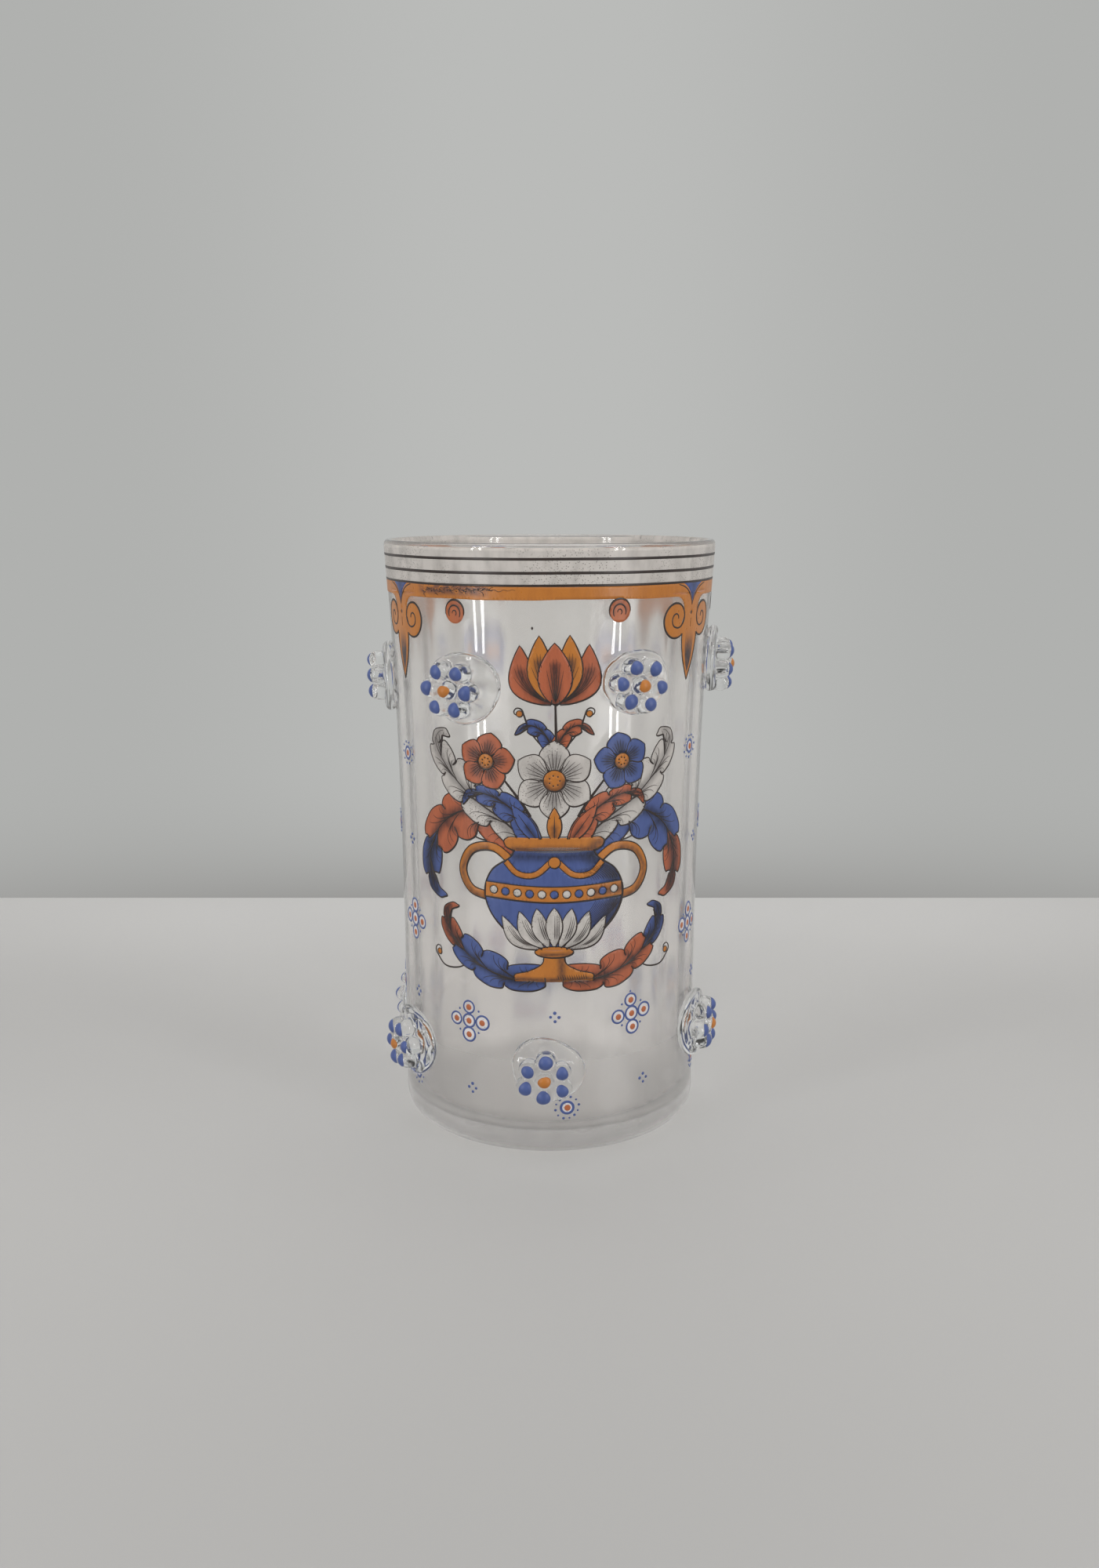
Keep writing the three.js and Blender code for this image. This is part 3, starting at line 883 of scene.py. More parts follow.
def maths(tree, operation, *values, clamp=False):
    """The result of a Math node."""
    inputs = {f"_{i}": value for i, value in enumerate(values)}
    return add(tree, "ShaderNodeMath", {"operation": operation, "use_clamp": clamp}, **inputs).outputs[0]


def times(tree, a, b):
    """The product of two numbers."""
    return maths(tree, "MULTIPLY", a, b)


def scaled(tree, value, factor, offset):
    """A number times a factor plus an offset."""
    return maths(tree, "MULTIPLY_ADD", value, factor, offset)


def vectors(tree, operation, vector, **other):
    """The result of a Vector Math node."""
    return add(tree, "ShaderNodeVectorMath", {"operation": operation}, _0=vector, **other).outputs[0]


def smooth_step(tree, value, low, high):
    """0 at low and 1 at high, with a soft change between them."""
    return add(tree, "ShaderNodeMapRange", {"interpolation_type": "SMOOTHSTEP"}, Value=value, From_Min=low,
               From_Max=high).outputs[0]


def mixed(tree, factor, a, b):
    """A mix of two colours, each a socket or three numbers."""
    a, b = (tone if isinstance(tone, bpy.types.NodeSocket) else (*tone, 1.0) for tone in (a, b))
    return add(tree, "ShaderNodeMix", {"data_type": "RGBA"}, _0=factor, _6=a, _7=b).outputs[2]


def overlaid(tree, tone, mask, strength, colour):
    """A tone with a colour over it where a mask is 1, as strong as the strength."""
    return mixed(tree, times(tree, mask, strength), tone, colour)


def object_place(tree):
    """The Object coordinates."""
    return add(tree, "ShaderNodeTexCoord").outputs["Object"]


def axes(tree, place):
    """The X, Y and Z of a vector."""
    return add(tree, "ShaderNodeSeparateXYZ", Vector=place).outputs


def noise(tree, scale, detail=3.0, stretch=(1.0, 1.0, 1.0), roughness=0.5, shift=0.0):
    """Noise on Object coordinates. Its scale is in features to the metre."""
    mapping = add(tree, "ShaderNodeMapping", Vector=object_place(tree), Scale=stretch,
                  Location=(shift, shift, shift))
    return add(tree, "ShaderNodeTexNoise", Vector=mapping.outputs[0], Scale=scale, Detail=detail,
               Roughness=roughness).outputs["Fac"]


def mesh_value(tree, name):
    """The number that the mesh holds under a name."""
    return add(tree, "ShaderNodeAttribute", {"attribute_name": name}).outputs["Fac"]


def bump(tree, height, strength, distance):
    """A normal from a height."""
    return add(tree, "ShaderNodeBump", Height=height, Strength=strength, Distance=distance).outputs["Normal"]


def new_material(name):
    """A material with its nodes emptied, and its tree."""
    material = bpy.data.materials.new(name)
    material.use_nodes = True
    material.node_tree.nodes.clear()
    return material, material.node_tree


def principled(tree, tone, rough, **values):
    """The usual shader with a colour and a roughness."""
    if not isinstance(tone, bpy.types.NodeSocket):
        tone = (*tone, 1.0)
    return add(tree, "ShaderNodeBsdfPrincipled", Base_Color=tone, Roughness=rough, **values).outputs[0]


def finish_material(tree, shader):
    """Puts a shader on the material's surface."""
    add(tree, "ShaderNodeOutputMaterial", Surface=shader)


def darker(colour, share_left):
    """A colour with this share of its light."""
    return tuple(share_left * part for part in colour)


# Finishes. Each pair of heights in metres is where a change of the glass starts and where it is full.

FILM_RISE = (0.1, 0.01)
BLUR_RISE = (0.04, 0.014)
SCUFF_RISE = (0.06, 0.024)
FOOT_SHADE = (0.012, 0.0)

# How much more the inner face blurs at the floor
FLOOR_BLUR = 0.3

# How rough the polished faces of the vessel and of a prunt are
VESSEL_ROUGHNESS = 0.03
PRUNT_ROUGHNESS = 0.015

# How streaky the film is
VESSEL_STREAKS = 0.9
PRUNT_STREAKS = 0.3

# The share of light left where painted shade darkens the scuffed glass and the very foot
SHADED_SCUFF_LIGHT = 0.88
SHADED_FOOT_LIGHT = 0.68


def glass_finish(name, tint, haze, streaks, mist=0.0, frost=0.0):
    """Clear blown glass with a faint milky film in upright streaks, which lets the lamps through.

    Mist makes the faces whose attribute inside is 1 blur what is behind them, most near the floor. Frost
    dulls and clouds the outside near the foot, where the glass is scuffed. There, and most at the very foot,
    the tint is darkened as painted shade.
    """
    material, tree = new_material(name)
    inside_face = mesh_value(tree, "inside")
    streak = noise(tree, 60.0, 3.0, (1.0, 1.0, 0.12))
    cloud = noise(tree, 22.0, 2.0, (1.0, 1.0, 0.45), 0.5, 3.7)
    height = axes(tree, object_place(tree))["Z"]
    low = smooth_step(tree, height, *FILM_RISE)
    film = times(tree, smooth_step(tree, streak, 0.42, 0.75), smooth_step(tree, cloud, 0.35, 0.7))
    film = times(tree, scaled(tree, film, scaled(tree, low, streaks, streaks), 0.4), haze)
    blurred = scaled(tree, smooth_step(tree, height, *BLUR_RISE), FLOOR_BLUR if mist else 0.0, mist)
    rough = scaled(tree, inside_face, blurred, VESSEL_ROUGHNESS if frost else PRUNT_ROUGHNESS)
    tone = tint
    if frost:
        wander = noise(tree, 26.0, 2.0, (1.0, 1.0, 0.8), 0.5, 5.1)
        scuffed = smooth_step(tree, scaled(tree, wander, 0.024, height), *SCUFF_RISE)
        # The scuffed zone's tint is darker: painted shade
        tone = mixed(tree, scuffed, tint, darker(tint, SHADED_SCUFF_LIGHT))
        # Darker still at the very foot: a painted shadow where the vase meets the floor
        tone = mixed(tree, smooth_step(tree, height, *FOOT_SHADE), tone, darker(tint, SHADED_FOOT_LIGHT))
        outside = times(tree, scuffed, maths(tree, "SUBTRACT", 1.0, inside_face))
        rubbed = noise(tree, 70.0, 1.0, (1.0, 1.0, 0.5), 0.4, 2.2)
        rough = scaled(tree, outside, scaled(tree, rubbed, 0.1, 0.155), rough)
        film = scaled(tree, times(tree, outside, smooth_step(tree, rubbed, 0.3, 0.75)), frost, film)
    swell = noise(tree, 45.0, 2.0, (1.0, 1.0, 0.3), 0.5, 1.9)
    clear = maths(tree, "SUBTRACT", 1.0, film, clamp=True)
    body = principled(tree, tone, rough, IOR=GLASS_IOR, Transmission_Weight=clear,
                      Normal=bump(tree, swell, 0.25, 0.0012))
    through = add(tree, "ShaderNodeBsdfTransparent", Color=(0.97, 0.97, 0.97, 1.0)).outputs[0]
    shadows = add(tree, "ShaderNodeLightPath").outputs["Is Shadow Ray"]
    finish_material(tree, add(tree, "ShaderNodeMixShader", _0=shadows, _1=body, _2=through).outputs[0])
    return material


def brushed_shade(tree):
    """The drawing's soft shades, ragged where the brush skipped."""
    shade = mesh_value(tree, "shade")
    skipped = scaled(tree, noise(tree, 1300.0, 3.0, (1.0, 1.0, 0.4), 0.7), 0.9, -0.45)
    ragged = scaled(tree, times(tree, skipped, shade), 1.2, shade)
    return maths(tree, "MINIMUM", maths(tree, "MAXIMUM", ragged, 0.0), 1.0)


def finish_enamel(tree, tone, shade, gloss):
    """Lays the soft shades over the colour and ends the material in a glossy, uneven surface."""
    tone = mixed(tree, brushed_shade(tree), tone, shade)
    ripple = noise(tree, 900.0, 3.0, (1.0, 1.0, 0.5))
    rough = scaled(tree, ripple, 0.25, gloss)
    finish_material(tree, principled(tree, tone, rough, Normal=bump(tree, ripple, 0.35, 0.0002)))


def enamel_finish(name, colour, dull, shade, gloss=0.26):
    """Glossy fired enamel with brush marks, dark specks, soft brushed shades and an uneven surface."""
    material, tree = new_material(name)
    marks = smooth_step(tree, noise(tree, 420.0, 4.0, (1.0, 1.0, 0.25), 0.6), 0.38, 0.72)
    tone = overlaid(tree, colour, marks, 0.42, dull)
    specks = smooth_step(tree, noise(tree, 1500.0, 2.0, shift=0.31), 0.68, 0.76)
    finish_enamel(tree, overlaid(tree, tone, specks, 0.45, dull), shade, gloss)
    return material


PIT_GREY = pigment(112, 106, 100)
SHADE_GREY = pigment(128, 122, 120)


def white_finish(name, colour, cover):
    """Thin white enamel, pitted like frost, with some of what is behind it showing through."""
    material, tree = new_material(name)
    cells = add(tree, "ShaderNodeTexVoronoi", {"feature": "F1"}, Scale=1500.0, Vector=object_place(tree))
    pits = smooth_step(tree, cells.outputs["Distance"], 0.36, 0.12)
    pits = times(tree, pits, smooth_step(tree, noise(tree, 70.0), 0.44, 0.6))
    wash = noise(tree, 200.0, 4.0, (1.0, 1.0, 0.5))
    tone = mixed(tree, smooth_step(tree, wash, 0.35, 0.7), colour, darker(colour, 0.86))
    tone = overlaid(tree, tone, pits, 0.75, PIT_GREY)
    shade = brushed_shade(tree)
    tone = overlaid(tree, tone, shade, 0.8, SHADE_GREY)
    film = scaled(tree, smooth_step(tree, wash, 0.4, 0.75), -0.14, cover)
    film = maths(tree, "MAXIMUM", film, maths(tree, "MAXIMUM", pits, shade))
    dents = bump(tree, times(tree, pits, -1.0), 0.5, 0.0002)
    finish_material(tree, principled(tree, tone, 0.38, Alpha=film, Normal=dents))
    return material


# Where the wear of the gold band comes in and goes out, as angles and heights
WORN_IN = (math.radians(-50), math.radians(-46))
WORN_OUT = (math.radians(-18), math.radians(-24))
WORN_RISE = (0.1833, 0.1852)


def worn_gold_finish(name, colour, dull, shade, stain):
    """The gold of the border, with a worn purple-brown stretch along the top of its band."""
    material, tree = new_material(name)
    place = axes(tree, object_place(tree))
    angle = maths(tree, "ARCTAN2", place["X"], times(tree, place["Y"], -1.0))
    along = times(tree, smooth_step(tree, angle, *WORN_IN), smooth_step(tree, angle, *WORN_OUT))
    above = smooth_step(tree, place["Z"], *WORN_RISE)
    ragged = smooth_step(tree, noise(tree, 300.0, 5.0, (1.0, 1.0, 1.6), 0.7), 0.38, 0.52)
    worn = times(tree, times(tree, along, above), ragged)
    marks = smooth_step(tree, noise(tree, 380.0, 4.0, (1.0, 1.0, 0.3), 0.6), 0.36, 0.75)
    tone = overlaid(tree, overlaid(tree, colour, marks, 0.4, dull), worn, 0.8, stain)
    finish_enamel(tree, tone, shade, 0.2)
    return material


ENAMEL_SLOTS = {
    "white": "enamel_white",
    "blue": "enamel_blue",
    "gold": "enamel_gold",
    "coral": "enamel_coral",
    "rust": "enamel_coral",
    "ink": "enamel_black",
}


def enamel_materials(enamel):
    """The finish of each enamel colour, made once."""
    if "enamel_blue" not in bpy.data.materials:
        gold_dull, gold_shade = pigment(168, 100, 44), pigment(54, 42, 46)
        enamel_finish("enamel_blue", enamel.blue, pigment(58, 76, 130), pigment(34, 38, 60))
        enamel_finish("enamel_gold", enamel.gold, gold_dull, gold_shade)
        enamel_finish("enamel_coral", enamel.coral, pigment(160, 86, 60), pigment(96, 50, 40))
        enamel_finish("enamel_rust", enamel.rust, pigment(140, 76, 52), pigment(66, 40, 38))
        enamel_finish("enamel_ink", enamel.black, pigment(64, 46, 38), pigment(30, 28, 28), 0.25)
        white_finish("enamel_white", enamel.white, 0.92)
        white_finish("enamel_bright", enamel.bright, 1.0)
        worn_gold_finish("border_gold", enamel.gold, gold_dull, gold_shade, pigment(104, 68, 62))
    return {key: bpy.data.materials[f"enamel_{key}"] for key in ENAMEL_SLOTS}


# Geometry node trees

# A vector times this is level
LEVEL = (1.0, 1.0, 0.0)


def geometry_tree(name, **inputs):
    """A geometry node tree with a geometry input, the named inputs and a geometry output, and its inputs."""
    tree = bpy.data.node_groups.new(name, "GeometryNodeTree")
    for label, kind in {"Geometry": "Geometry", **inputs}.items():
        tree.interface.new_socket(label.replace("_", " "), in_out="INPUT", socket_type=f"NodeSocket{kind}")
    tree.interface.new_socket("Geometry", in_out="OUTPUT", socket_type="NodeSocketGeometry")
    return tree, tree.nodes.new("NodeGroupInput").outputs


def end_tree(tree, given, geometry):
    """Ends a tree: makes its instances real, shades them smooth and sets their material."""
    real = add(tree, "GeometryNodeRealizeInstances", Geometry=geometry)
    smooth = add(tree, "GeometryNodeSetShadeSmooth", Geometry=real.outputs[0])
    coated = add(tree, "GeometryNodeSetMaterial", Geometry=smooth.outputs[0], Material=given["Material"])
    add(tree, "NodeGroupOutput", _0=coated.outputs[0])
    return tree


def grown(obj, tree, values):
    """The object with a geometry node tree applied to its mesh."""
    modifier = obj.modifiers.new(tree.name, "NODES")
    modifier.node_group = tree
    identifiers = {item.name: item.identifier for item in tree.interface.items_tree if item.in_out == "INPUT"}
    for label, value in values.items():
        modifier[identifiers[label]] = value
    evaluated = obj.evaluated_get(bpy.context.evaluated_depsgraph_get())
    mesh = bpy.data.meshes.new_from_object(evaluated)
    obj.modifiers.remove(modifier)
    obj.data = mesh
    mesh.name = obj.name
    return obj


def point_value(tree, name):
    """The number that each point holds under a name."""
    node = add(tree, "GeometryNodeInputNamedAttribute", {"data_type": "FLOAT"}, Name=name)
    return node.outputs["Attribute"]


def rib_tree():
    """Presses upright ribs and slow swells into the points whose attribute ribbed is 1."""
    tree, given = geometry_tree("optic_ribs", Rib_Count="Int", Rib_Depth="Float", Rib_Fade="Float",
                                Lip_Height="Float", Waviness="Float", Seed="Float", Material="Material")
    place = add(tree, "GeometryNodeInputPosition").outputs[0]
    x, y, z = axes(tree, place)
    angle = maths(tree, "ARCTAN2", x, times(tree, y, -1.0))
    wave = scaled(tree, maths(tree, "COSINE", times(tree, angle, given["Rib Count"])), -0.5, 0.5)
    below_lip = maths(tree, "SUBTRACT", given["Lip Height"], z)
    fade = smooth_step(tree, below_lip, 0.0, given["Rib Fade"])
    ribs = times(tree, times(tree, wave, given["Rib Depth"]), fade)
    stretched = vectors(tree, "MULTIPLY", place, _1=(1.0, 1.0, 0.3))
    swell = add(tree, "ShaderNodeTexNoise", {"noise_dimensions": "4D"}, Vector=stretched, W=given["Seed"],
                Scale=34.0, Detail=2.0)
    swells = times(tree, swell.outputs["Fac"], given["Waviness"])
    inward = times(tree, maths(tree, "ADD", ribs, swells), point_value(tree, "ribbed"))
    radial = vectors(tree, "NORMALIZE", vectors(tree, "MULTIPLY", place, _1=LEVEL))
    shift = vectors(tree, "SCALE", radial, Scale=times(tree, inward, -1.0))
    moved = add(tree, "GeometryNodeSetPosition", Geometry=given["Geometry"], Offset=shift)
    return end_tree(tree, given, moved.outputs[0])


def bead_tree(name, ring):
    """Sets a bead or a ring on each point, facing out of the wall, as big as its size and tall say."""
    tree, given = geometry_tree(name, Sides="Int", Rings="Int", Band="Float", Material="Material")
    if ring:
        path, section = (
            add(tree, "GeometryNodeCurvePrimitiveCircle", Resolution=points, Radius=radius).outputs[0]
            for points, radius in ((given["Sides"], 1.0), (given["Rings"], given["Band"])))
        shape = add(tree, "GeometryNodeCurveToMesh", Curve=path, Profile_Curve=section)
    else:
        shape = add(tree, "GeometryNodeMeshUVSphere", Segments=given["Sides"], Rings=given["Rings"],
                    Radius=1.0)
    place = add(tree, "GeometryNodeInputPosition").outputs[0]
    outward = vectors(tree, "MULTIPLY", place, _1=LEVEL)
    facing = add(tree, "FunctionNodeAlignRotationToVector", {"axis": "Z"}, Vector=outward)
    size = point_value(tree, "size")
    scale = add(tree, "ShaderNodeCombineXYZ", X=size, Y=size, Z=point_value(tree, "tall"))
    dots = add(tree, "GeometryNodeInstanceOnPoints", Points=given["Geometry"], Instance=shape.outputs[0],
               Rotation=facing.outputs[0], Scale=scale.outputs[0])
    return end_tree(tree, given, dots.outputs[0])


# Prunts

def soft_join(a, b, reach):
    """The distance to two bodies melted together."""
    blend = np.clip(0.5 + 0.5 * (b - a) / reach, 0, 1)
    return b + (a - b) * blend - reach * blend * (1 - blend)


def bead_distance(p, centre, radii):
    """About the distance from points to an ellipsoid."""
    q = p - centre
    near = np.linalg.norm(q / radii, axis=1) + TINY
    slope = np.linalg.norm(q / np.square(radii), axis=1) + TINY
    return near * (near - 1) / slope


def prunt_lobes(prunts, prunt):
    """The centres and half sizes of a prunt's lobes, the middle one last."""
    tip = prunts.reach + prunt.extra * MM
    lobes = []
    for k in range(prunts.lobe_count):
        angle = 2 * math.pi * k / prunts.lobe_count + math.radians(prunt.twist)
        uneven = 1 + 0.05 * math.sin(7.1 * k + prunt.angle)
        spread = prunts.lobe_spread * prunt.spread * (1 + 0.04 * math.sin(3.3 * k + prunt.angle))
        lobes.append((spread * math.cos(angle), spread * math.sin(angle), tip, prunts.lobe_radius * uneven))
    lobes.append((0.0, 0.0, tip + prunts.middle_lead, prunts.lobe_radius * 0.96))
    return [(np.array([x, y, top - prunts.lobe_depth]), np.array([wide, wide, prunts.lobe_depth]))
            for x, y, top, wide in lobes]


# How softly the crown melts into the pad, and a lobe into the crown
CROWN_JOIN = 1.3 * MM
LOBE_JOIN = 0.9 * MM


def pad_distance(out, z, thick):
    """About the distance to a flat pad with a rolled edge and a fold inside it, out from its edge and up."""
    roll = np.hypot(out + thick * 0.5, z - thick * 0.5) - thick * 0.48
    disc = np.maximum(out + thick * 0.4, np.abs(z - thick * 0.36) - thick * 0.36)
    fold = np.hypot(out + thick * 1.25, z - thick * 0.7) - thick * 0.14
    return soft_join(soft_join(roll, disc, thick * 0.25), fold, thick * 0.2)


def prunt_distance(prunts, prunt, p):
    """About the distance from flat points to the prunt's glass: x right, y up the wall, z out of it."""
    aside = p[:, :2] - np.array(prunt.shift) * MM
    angle = np.arctan2(aside[:, 1], aside[:, 0]) + math.radians(prunt.twist)
    wave = 1 + prunts.pad_wave * (np.cos(2 * angle) + np.sin(3 * angle) / 2)
    out = np.hypot(*aside.T) - prunts.pad_diameter / 2 * prunt.pad * wave
    crown_size = np.array([prunts.boss_radius, prunts.boss_radius, prunts.boss_height])
    pad = pad_distance(out, p[:, 2], prunts.pad_thickness)
    glass = soft_join(pad, bead_distance(p, np.zeros(3), crown_size), CROWN_JOIN)
    for centre, radii in prunt_lobes(prunts, prunt):
        glass = soft_join(glass, bead_distance(p, centre, radii), LOBE_JOIN)
    return np.maximum(glass, prunts.seat - p[:, 2])


# The march along a ray: its most steps, the share of a gap that a step takes, the limits of the gap that is
# reckoned with, how near to the ray's inner end it may come, and how near to the glass it stops
MARCH_STEPS = 120
MARCH_CAUTION = 0.7
MARCH_GAPS = (-0.2 * MM, 2 * MM)
MARCH_INNERMOST = 0.2 * MM
MARCH_NEAR = 0.002 * MM


def marched(field, start, ray, far):
    """Where rays that come in from afar first meet the glass. Each has its inner end and its direction."""
    start = np.broadcast_to(start, ray.shape)
    distance = np.full(len(ray), far)
    live = np.arange(len(ray))
    for _ in range(MARCH_STEPS):
        gap = field(start[live] + ray[live] * distance[live, None])
        step = np.clip(gap, *MARCH_GAPS) * MARCH_CAUTION
        distance[live] = np.maximum(distance[live] - step, MARCH_INNERMOST)
        live = live[np.abs(gap) > MARCH_NEAR]
        if not len(live):
            break
    return start + ray * distance[:, None]


def wrapped(vessel, prunt, height, flat):
    """Bends flat points round the wall at the prunt's place."""
    angle = math.radians(prunt.angle) + flat[:, 0] / wall_radius(vessel, height)
    return on_wall(vessel, angle, height + flat[:, 1], flat[:, 2])


def ball(fineness):
    """The points and triangles of an even unit ball."""
    mesh = bmesh.new()
    bmesh.ops.create_icosphere(mesh, subdivisions=fineness, radius=1.0)
    points = np.array([tuple(v.co) for v in mesh.verts])
    faces = [tuple(v.index for v in f.verts) for f in mesh.faces]
    mesh.free()
    return points / np.linalg.norm(points, axis=1)[:, None], faces


# The enamel dot on a lobe: where the search for the glass under it starts, how far it reaches over and under
# that glass, and how much of its swell leans outwards
CAP_SEARCH = 9 * MM
CAP_OVER = 0.02 * MM
CAP_UNDER = 0.12 * MM
CAP_LEAN = 0.4


def cap_shell(prunts, prunt, centre, radii, number):
    """Flat points and faces of the enamel dot on one lobe: it follows the lobe and swells a little."""
    rings, sides = 7, 22
    turn = np.linspace(0, 2 * math.pi, sides, endpoint=False)
    seed = prunt.angle + 2.3 * number
    middle = number == prunts.lobe_count
    wide = prunts.cap_radius * (1.0 if middle else 1 + 0.06 * math.sin(seed * 1.7))
    tall = 1.0 if middle else 1.22 + 0.06 * math.sin(seed)
    wobble = 1 + 0.06 * np.sin(2 * turn + seed) + 0.04 * np.sin(3 * turn + 2 * seed)
    spots = [np.zeros((1, 2))]
    for k in range(1, rings + 1):
        reach = wide * wobble * math.sin(math.pi / 2 * k / rings)
        spots.append(np.stack([reach * np.cos(turn), tall * reach * np.sin(turn)], 1))
    spots = np.vstack(spots) + centre[:2]
    start = np.hstack([spots, np.full((len(spots), 1), centre[2])])
    outward = np.tile([0.0, 0.0, 1.0], (len(spots), 1))
    top = marched(lambda p: prunt_distance(prunts, prunt, p), start, outward, CAP_SEARCH)
    depth = np.concatenate([[0], np.repeat(np.arange(1, rings + 1) / rings, sides)])
    swell = prunts.cap_swell * np.sqrt(np.clip(1 - depth**2, 0, 1))[:, None]
    leaning_out = (spots - centre[:2]) / radii[:2]
    upper = top + np.hstack([leaning_out * swell * CAP_LEAN, swell + CAP_OVER])
    lower = top - [0, 0, CAP_UNDER]
    count = len(spots)
    faces = []
    for j in range(sides):
        k = (j + 1) % sides
        faces.append((0, 1 + j, 1 + k))
        faces.append((count, count + 1 + k, count + 1 + j))
        for i in range(rings - 1):
            a, b = 1 + i * sides, 1 + (i + 1) * sides
            faces.append((a + j, b + j, b + k, a + k))
            faces.append((count + a + k, count + b + k, count + b + j, count + a + j))
        last = 1 + (rings - 1) * sides
        faces.append((last + j, count + last + j, count + last + k, last + k))
    return np.vstack([upper, lower]), faces


# The place of each prunt: its angle from the front in degrees, how far in millimetres it strays up from its
# row, the turn of its stamp in degrees, its pad and the spread of its lobes as shares of the usual, and in
# millimetres how far its pad slumped right and up and how far it stands out beyond the others
Prunt = namedtuple("Prunt", "name angle stray twist pad spread shift extra")
UPPER_PRUNTS = (
    Prunt("prunt_upper_front_left", -32.3, -1, -4, 0.97, 1.03, (2.6, 0.6), 0),
    Prunt("prunt_upper_front_right", 28.5, 0.9, -8, 0.87, 0.99, (0.8, 0.7), 0),
    Prunt("prunt_upper_right", 89, 2, 12, 0.95, 1.0, (-0.8, 2.2), 0.6),
    Prunt("prunt_upper_back_right", 149, -1, 20, 1.0, 1.0, (1, 1.4), 0),
    Prunt("prunt_upper_back_left", -151, 0.5, -14, 0.93, 0.98, (-1.6, 0.8), 0),
    Prunt("prunt_upper_left", -92, -2.5, 8, 1.0, 1.0, (1.4, 0.4), 0.4),
)
LOWER_PRUNTS = (
    Prunt("prunt_lower_front", -1.6, 0.1, 27, 0.9, 0.93, (0.9, 1.8), 0),
    Prunt("prunt_lower_right", 73, 4.5, 2, 0.97, 0.98, (-1.8, 0.9), 0),
    Prunt("prunt_lower_back_right", 128, 2, 15, 0.92, 0.96, (1.2, 1), 0),
    Prunt("prunt_lower_back", 180, 0, 30, 0.96, 1.0, (-1, 1.2), 0),
    Prunt("prunt_lower_back_left", -114, 1.5, 18, 0.94, 0.97, (1.6, 0.6), 0),
    Prunt("prunt_lower_left", -63.5, 0.5, 8, 0.98, 0.96, (2.4, 1.4), 0),
)


def placed_prunts(context):
    """Each prunt with its height on the wall."""
    vessel, prunts = context.scene.vase_vessel, context.scene.vase_prunts
    rows = ((UPPER_PRUNTS, vessel.height - prunts.upper_row_drop), (LOWER_PRUNTS, prunts.lower_row_rise))
    return [(prunt, height + prunt.stray * MM) for row, height in rows for prunt in row]


# Dot ornaments: each place is an angle in degrees and a height in millimetres, and a cross also has its lean

DOT_FLOWERS = (
    (-63.6, 130.9), (61.6, 133.5), (6.5, 17.9), (-62.0, 19.7), (76.8, 20.4), (-83.7, 104.3), (83.8, 106.0),
    (120.5, 131.5), (-119.0, 130.4), (179.0, 132.0), (-150.0, 104.8), (150.5, 105.6), (127.0, 15.5),
    (-110.0, 16.5), (-171.5, 15.8),
)
RING_CROSSES = (
    (-31.1, 45.3, 0.0), (31.7, 47.8, 5.0), (-61.9, 74.4, 0.0), (66.1, 72.0, -4.0), (120.0, 73.6, 3.0),
    (-120.4, 72.8, -3.0), (179.0, 74.8, 0.0), (101.0, 45.6, 0.0), (154.5, 46.8, 4.0), (-147.5, 45.2, -3.0),
    (-89.5, 46.4, 0.0),
)
DOT_DIAMONDS = (
    (-62.5, 102.0), (70.0, 101.6), (-60.3, 49.3), (1.9, 49.0), (-29.9, 22.1), (37.5, 24.1), (-168.6, 48.0),
    (120.0, 102.4), (-120.0, 101.0), (178.0, 103.0), (73.5, 53.0), (128.5, 50.5), (-113.5, 50.0),
    (100.5, 22.5), (153.0, 21.8), (-146.0, 22.6), (-88.0, 21.6), (-91.0, 130.5), (91.0, 131.0),
    (150.0, 130.0), (-150.0, 129.4), (-91.5, 77.0), (92.0, 77.6), (150.0, 76.8), (-150.6, 76.2),
)

# Half the thickness in millimetres of the white and coral spots inside a ring
WHITE_SPOT = 0.09
CORAL_SPOT = 0.24


def dot_places():
    """Every dot by piece, as angle, height, offset to the right and upwards, radius and half thickness."""
    blue, hoops, rings, white, coral = [], [], [], [], []
    for n, place in enumerate(DOT_FLOWERS):
        hoops.append((*place, 0, 0, 2.03, 0.56))
        white.append((*place, 0, 0, 1.8, WHITE_SPOT))
        coral.append((*place, 0.1, -0.05, 1.18, CORAL_SPOT))
        petals = 10 + n % 3
        for k in range(petals):
            turn = 2 * math.pi * (k + 0.2 * n) / petals
            reach = 3.8 + 0.18 * math.sin(5.3 * k + n)
            size = 0.4 + 0.06 * math.sin(k * 3.1 + n)
            blue.append((*place, reach * math.cos(turn), reach * math.sin(turn), size, 0.2))
    for n, (*place, tilt_right) in enumerate(RING_CROSSES):
        lean = math.radians(tilt_right)
        for x, y in ((0, 0), (5.1, 0), (-5.1, 0), (0, 4.7), (0, -4.7)):
            right, up = x * math.cos(lean) - y * math.sin(lean), x * math.sin(lean) + y * math.cos(lean)
            size = 2.2 + 0.14 * math.sin(2.7 * x + y + n)
            rings.append((*place, right, up, size, 0.8))
            white.append((*place, right, up, size * 0.95, WHITE_SPOT))
            coral.append((*place, right + 0.12 * math.sin(n + x), up - 0.08, 1.16, CORAL_SPOT))
        for x, y in ((3.7, 3.7), (-3.7, 3.6), (3.6, -3.7), (-3.6, -3.6)):
            blue.append((*place, x, y, 0.4, 0.18))
    blue.append((31.7, 47.8, -0.5, 7.6, 0.38, 0.18))
    for n, place in enumerate(DOT_DIAMONDS):
        for k, (x, y) in enumerate(((1.35, 0), (-1.35, 0.1), (0, 1.45), (0.1, -1.4))):
            blue.append((*place, x, y, 0.55 + 0.05 * math.sin(n + 2.2 * k), 0.22))
    return {"dots_blue": blue, "dots_hoops": hoops, "dots_rings": rings, "dots_white": white,
            "dots_coral": coral}


# Operators

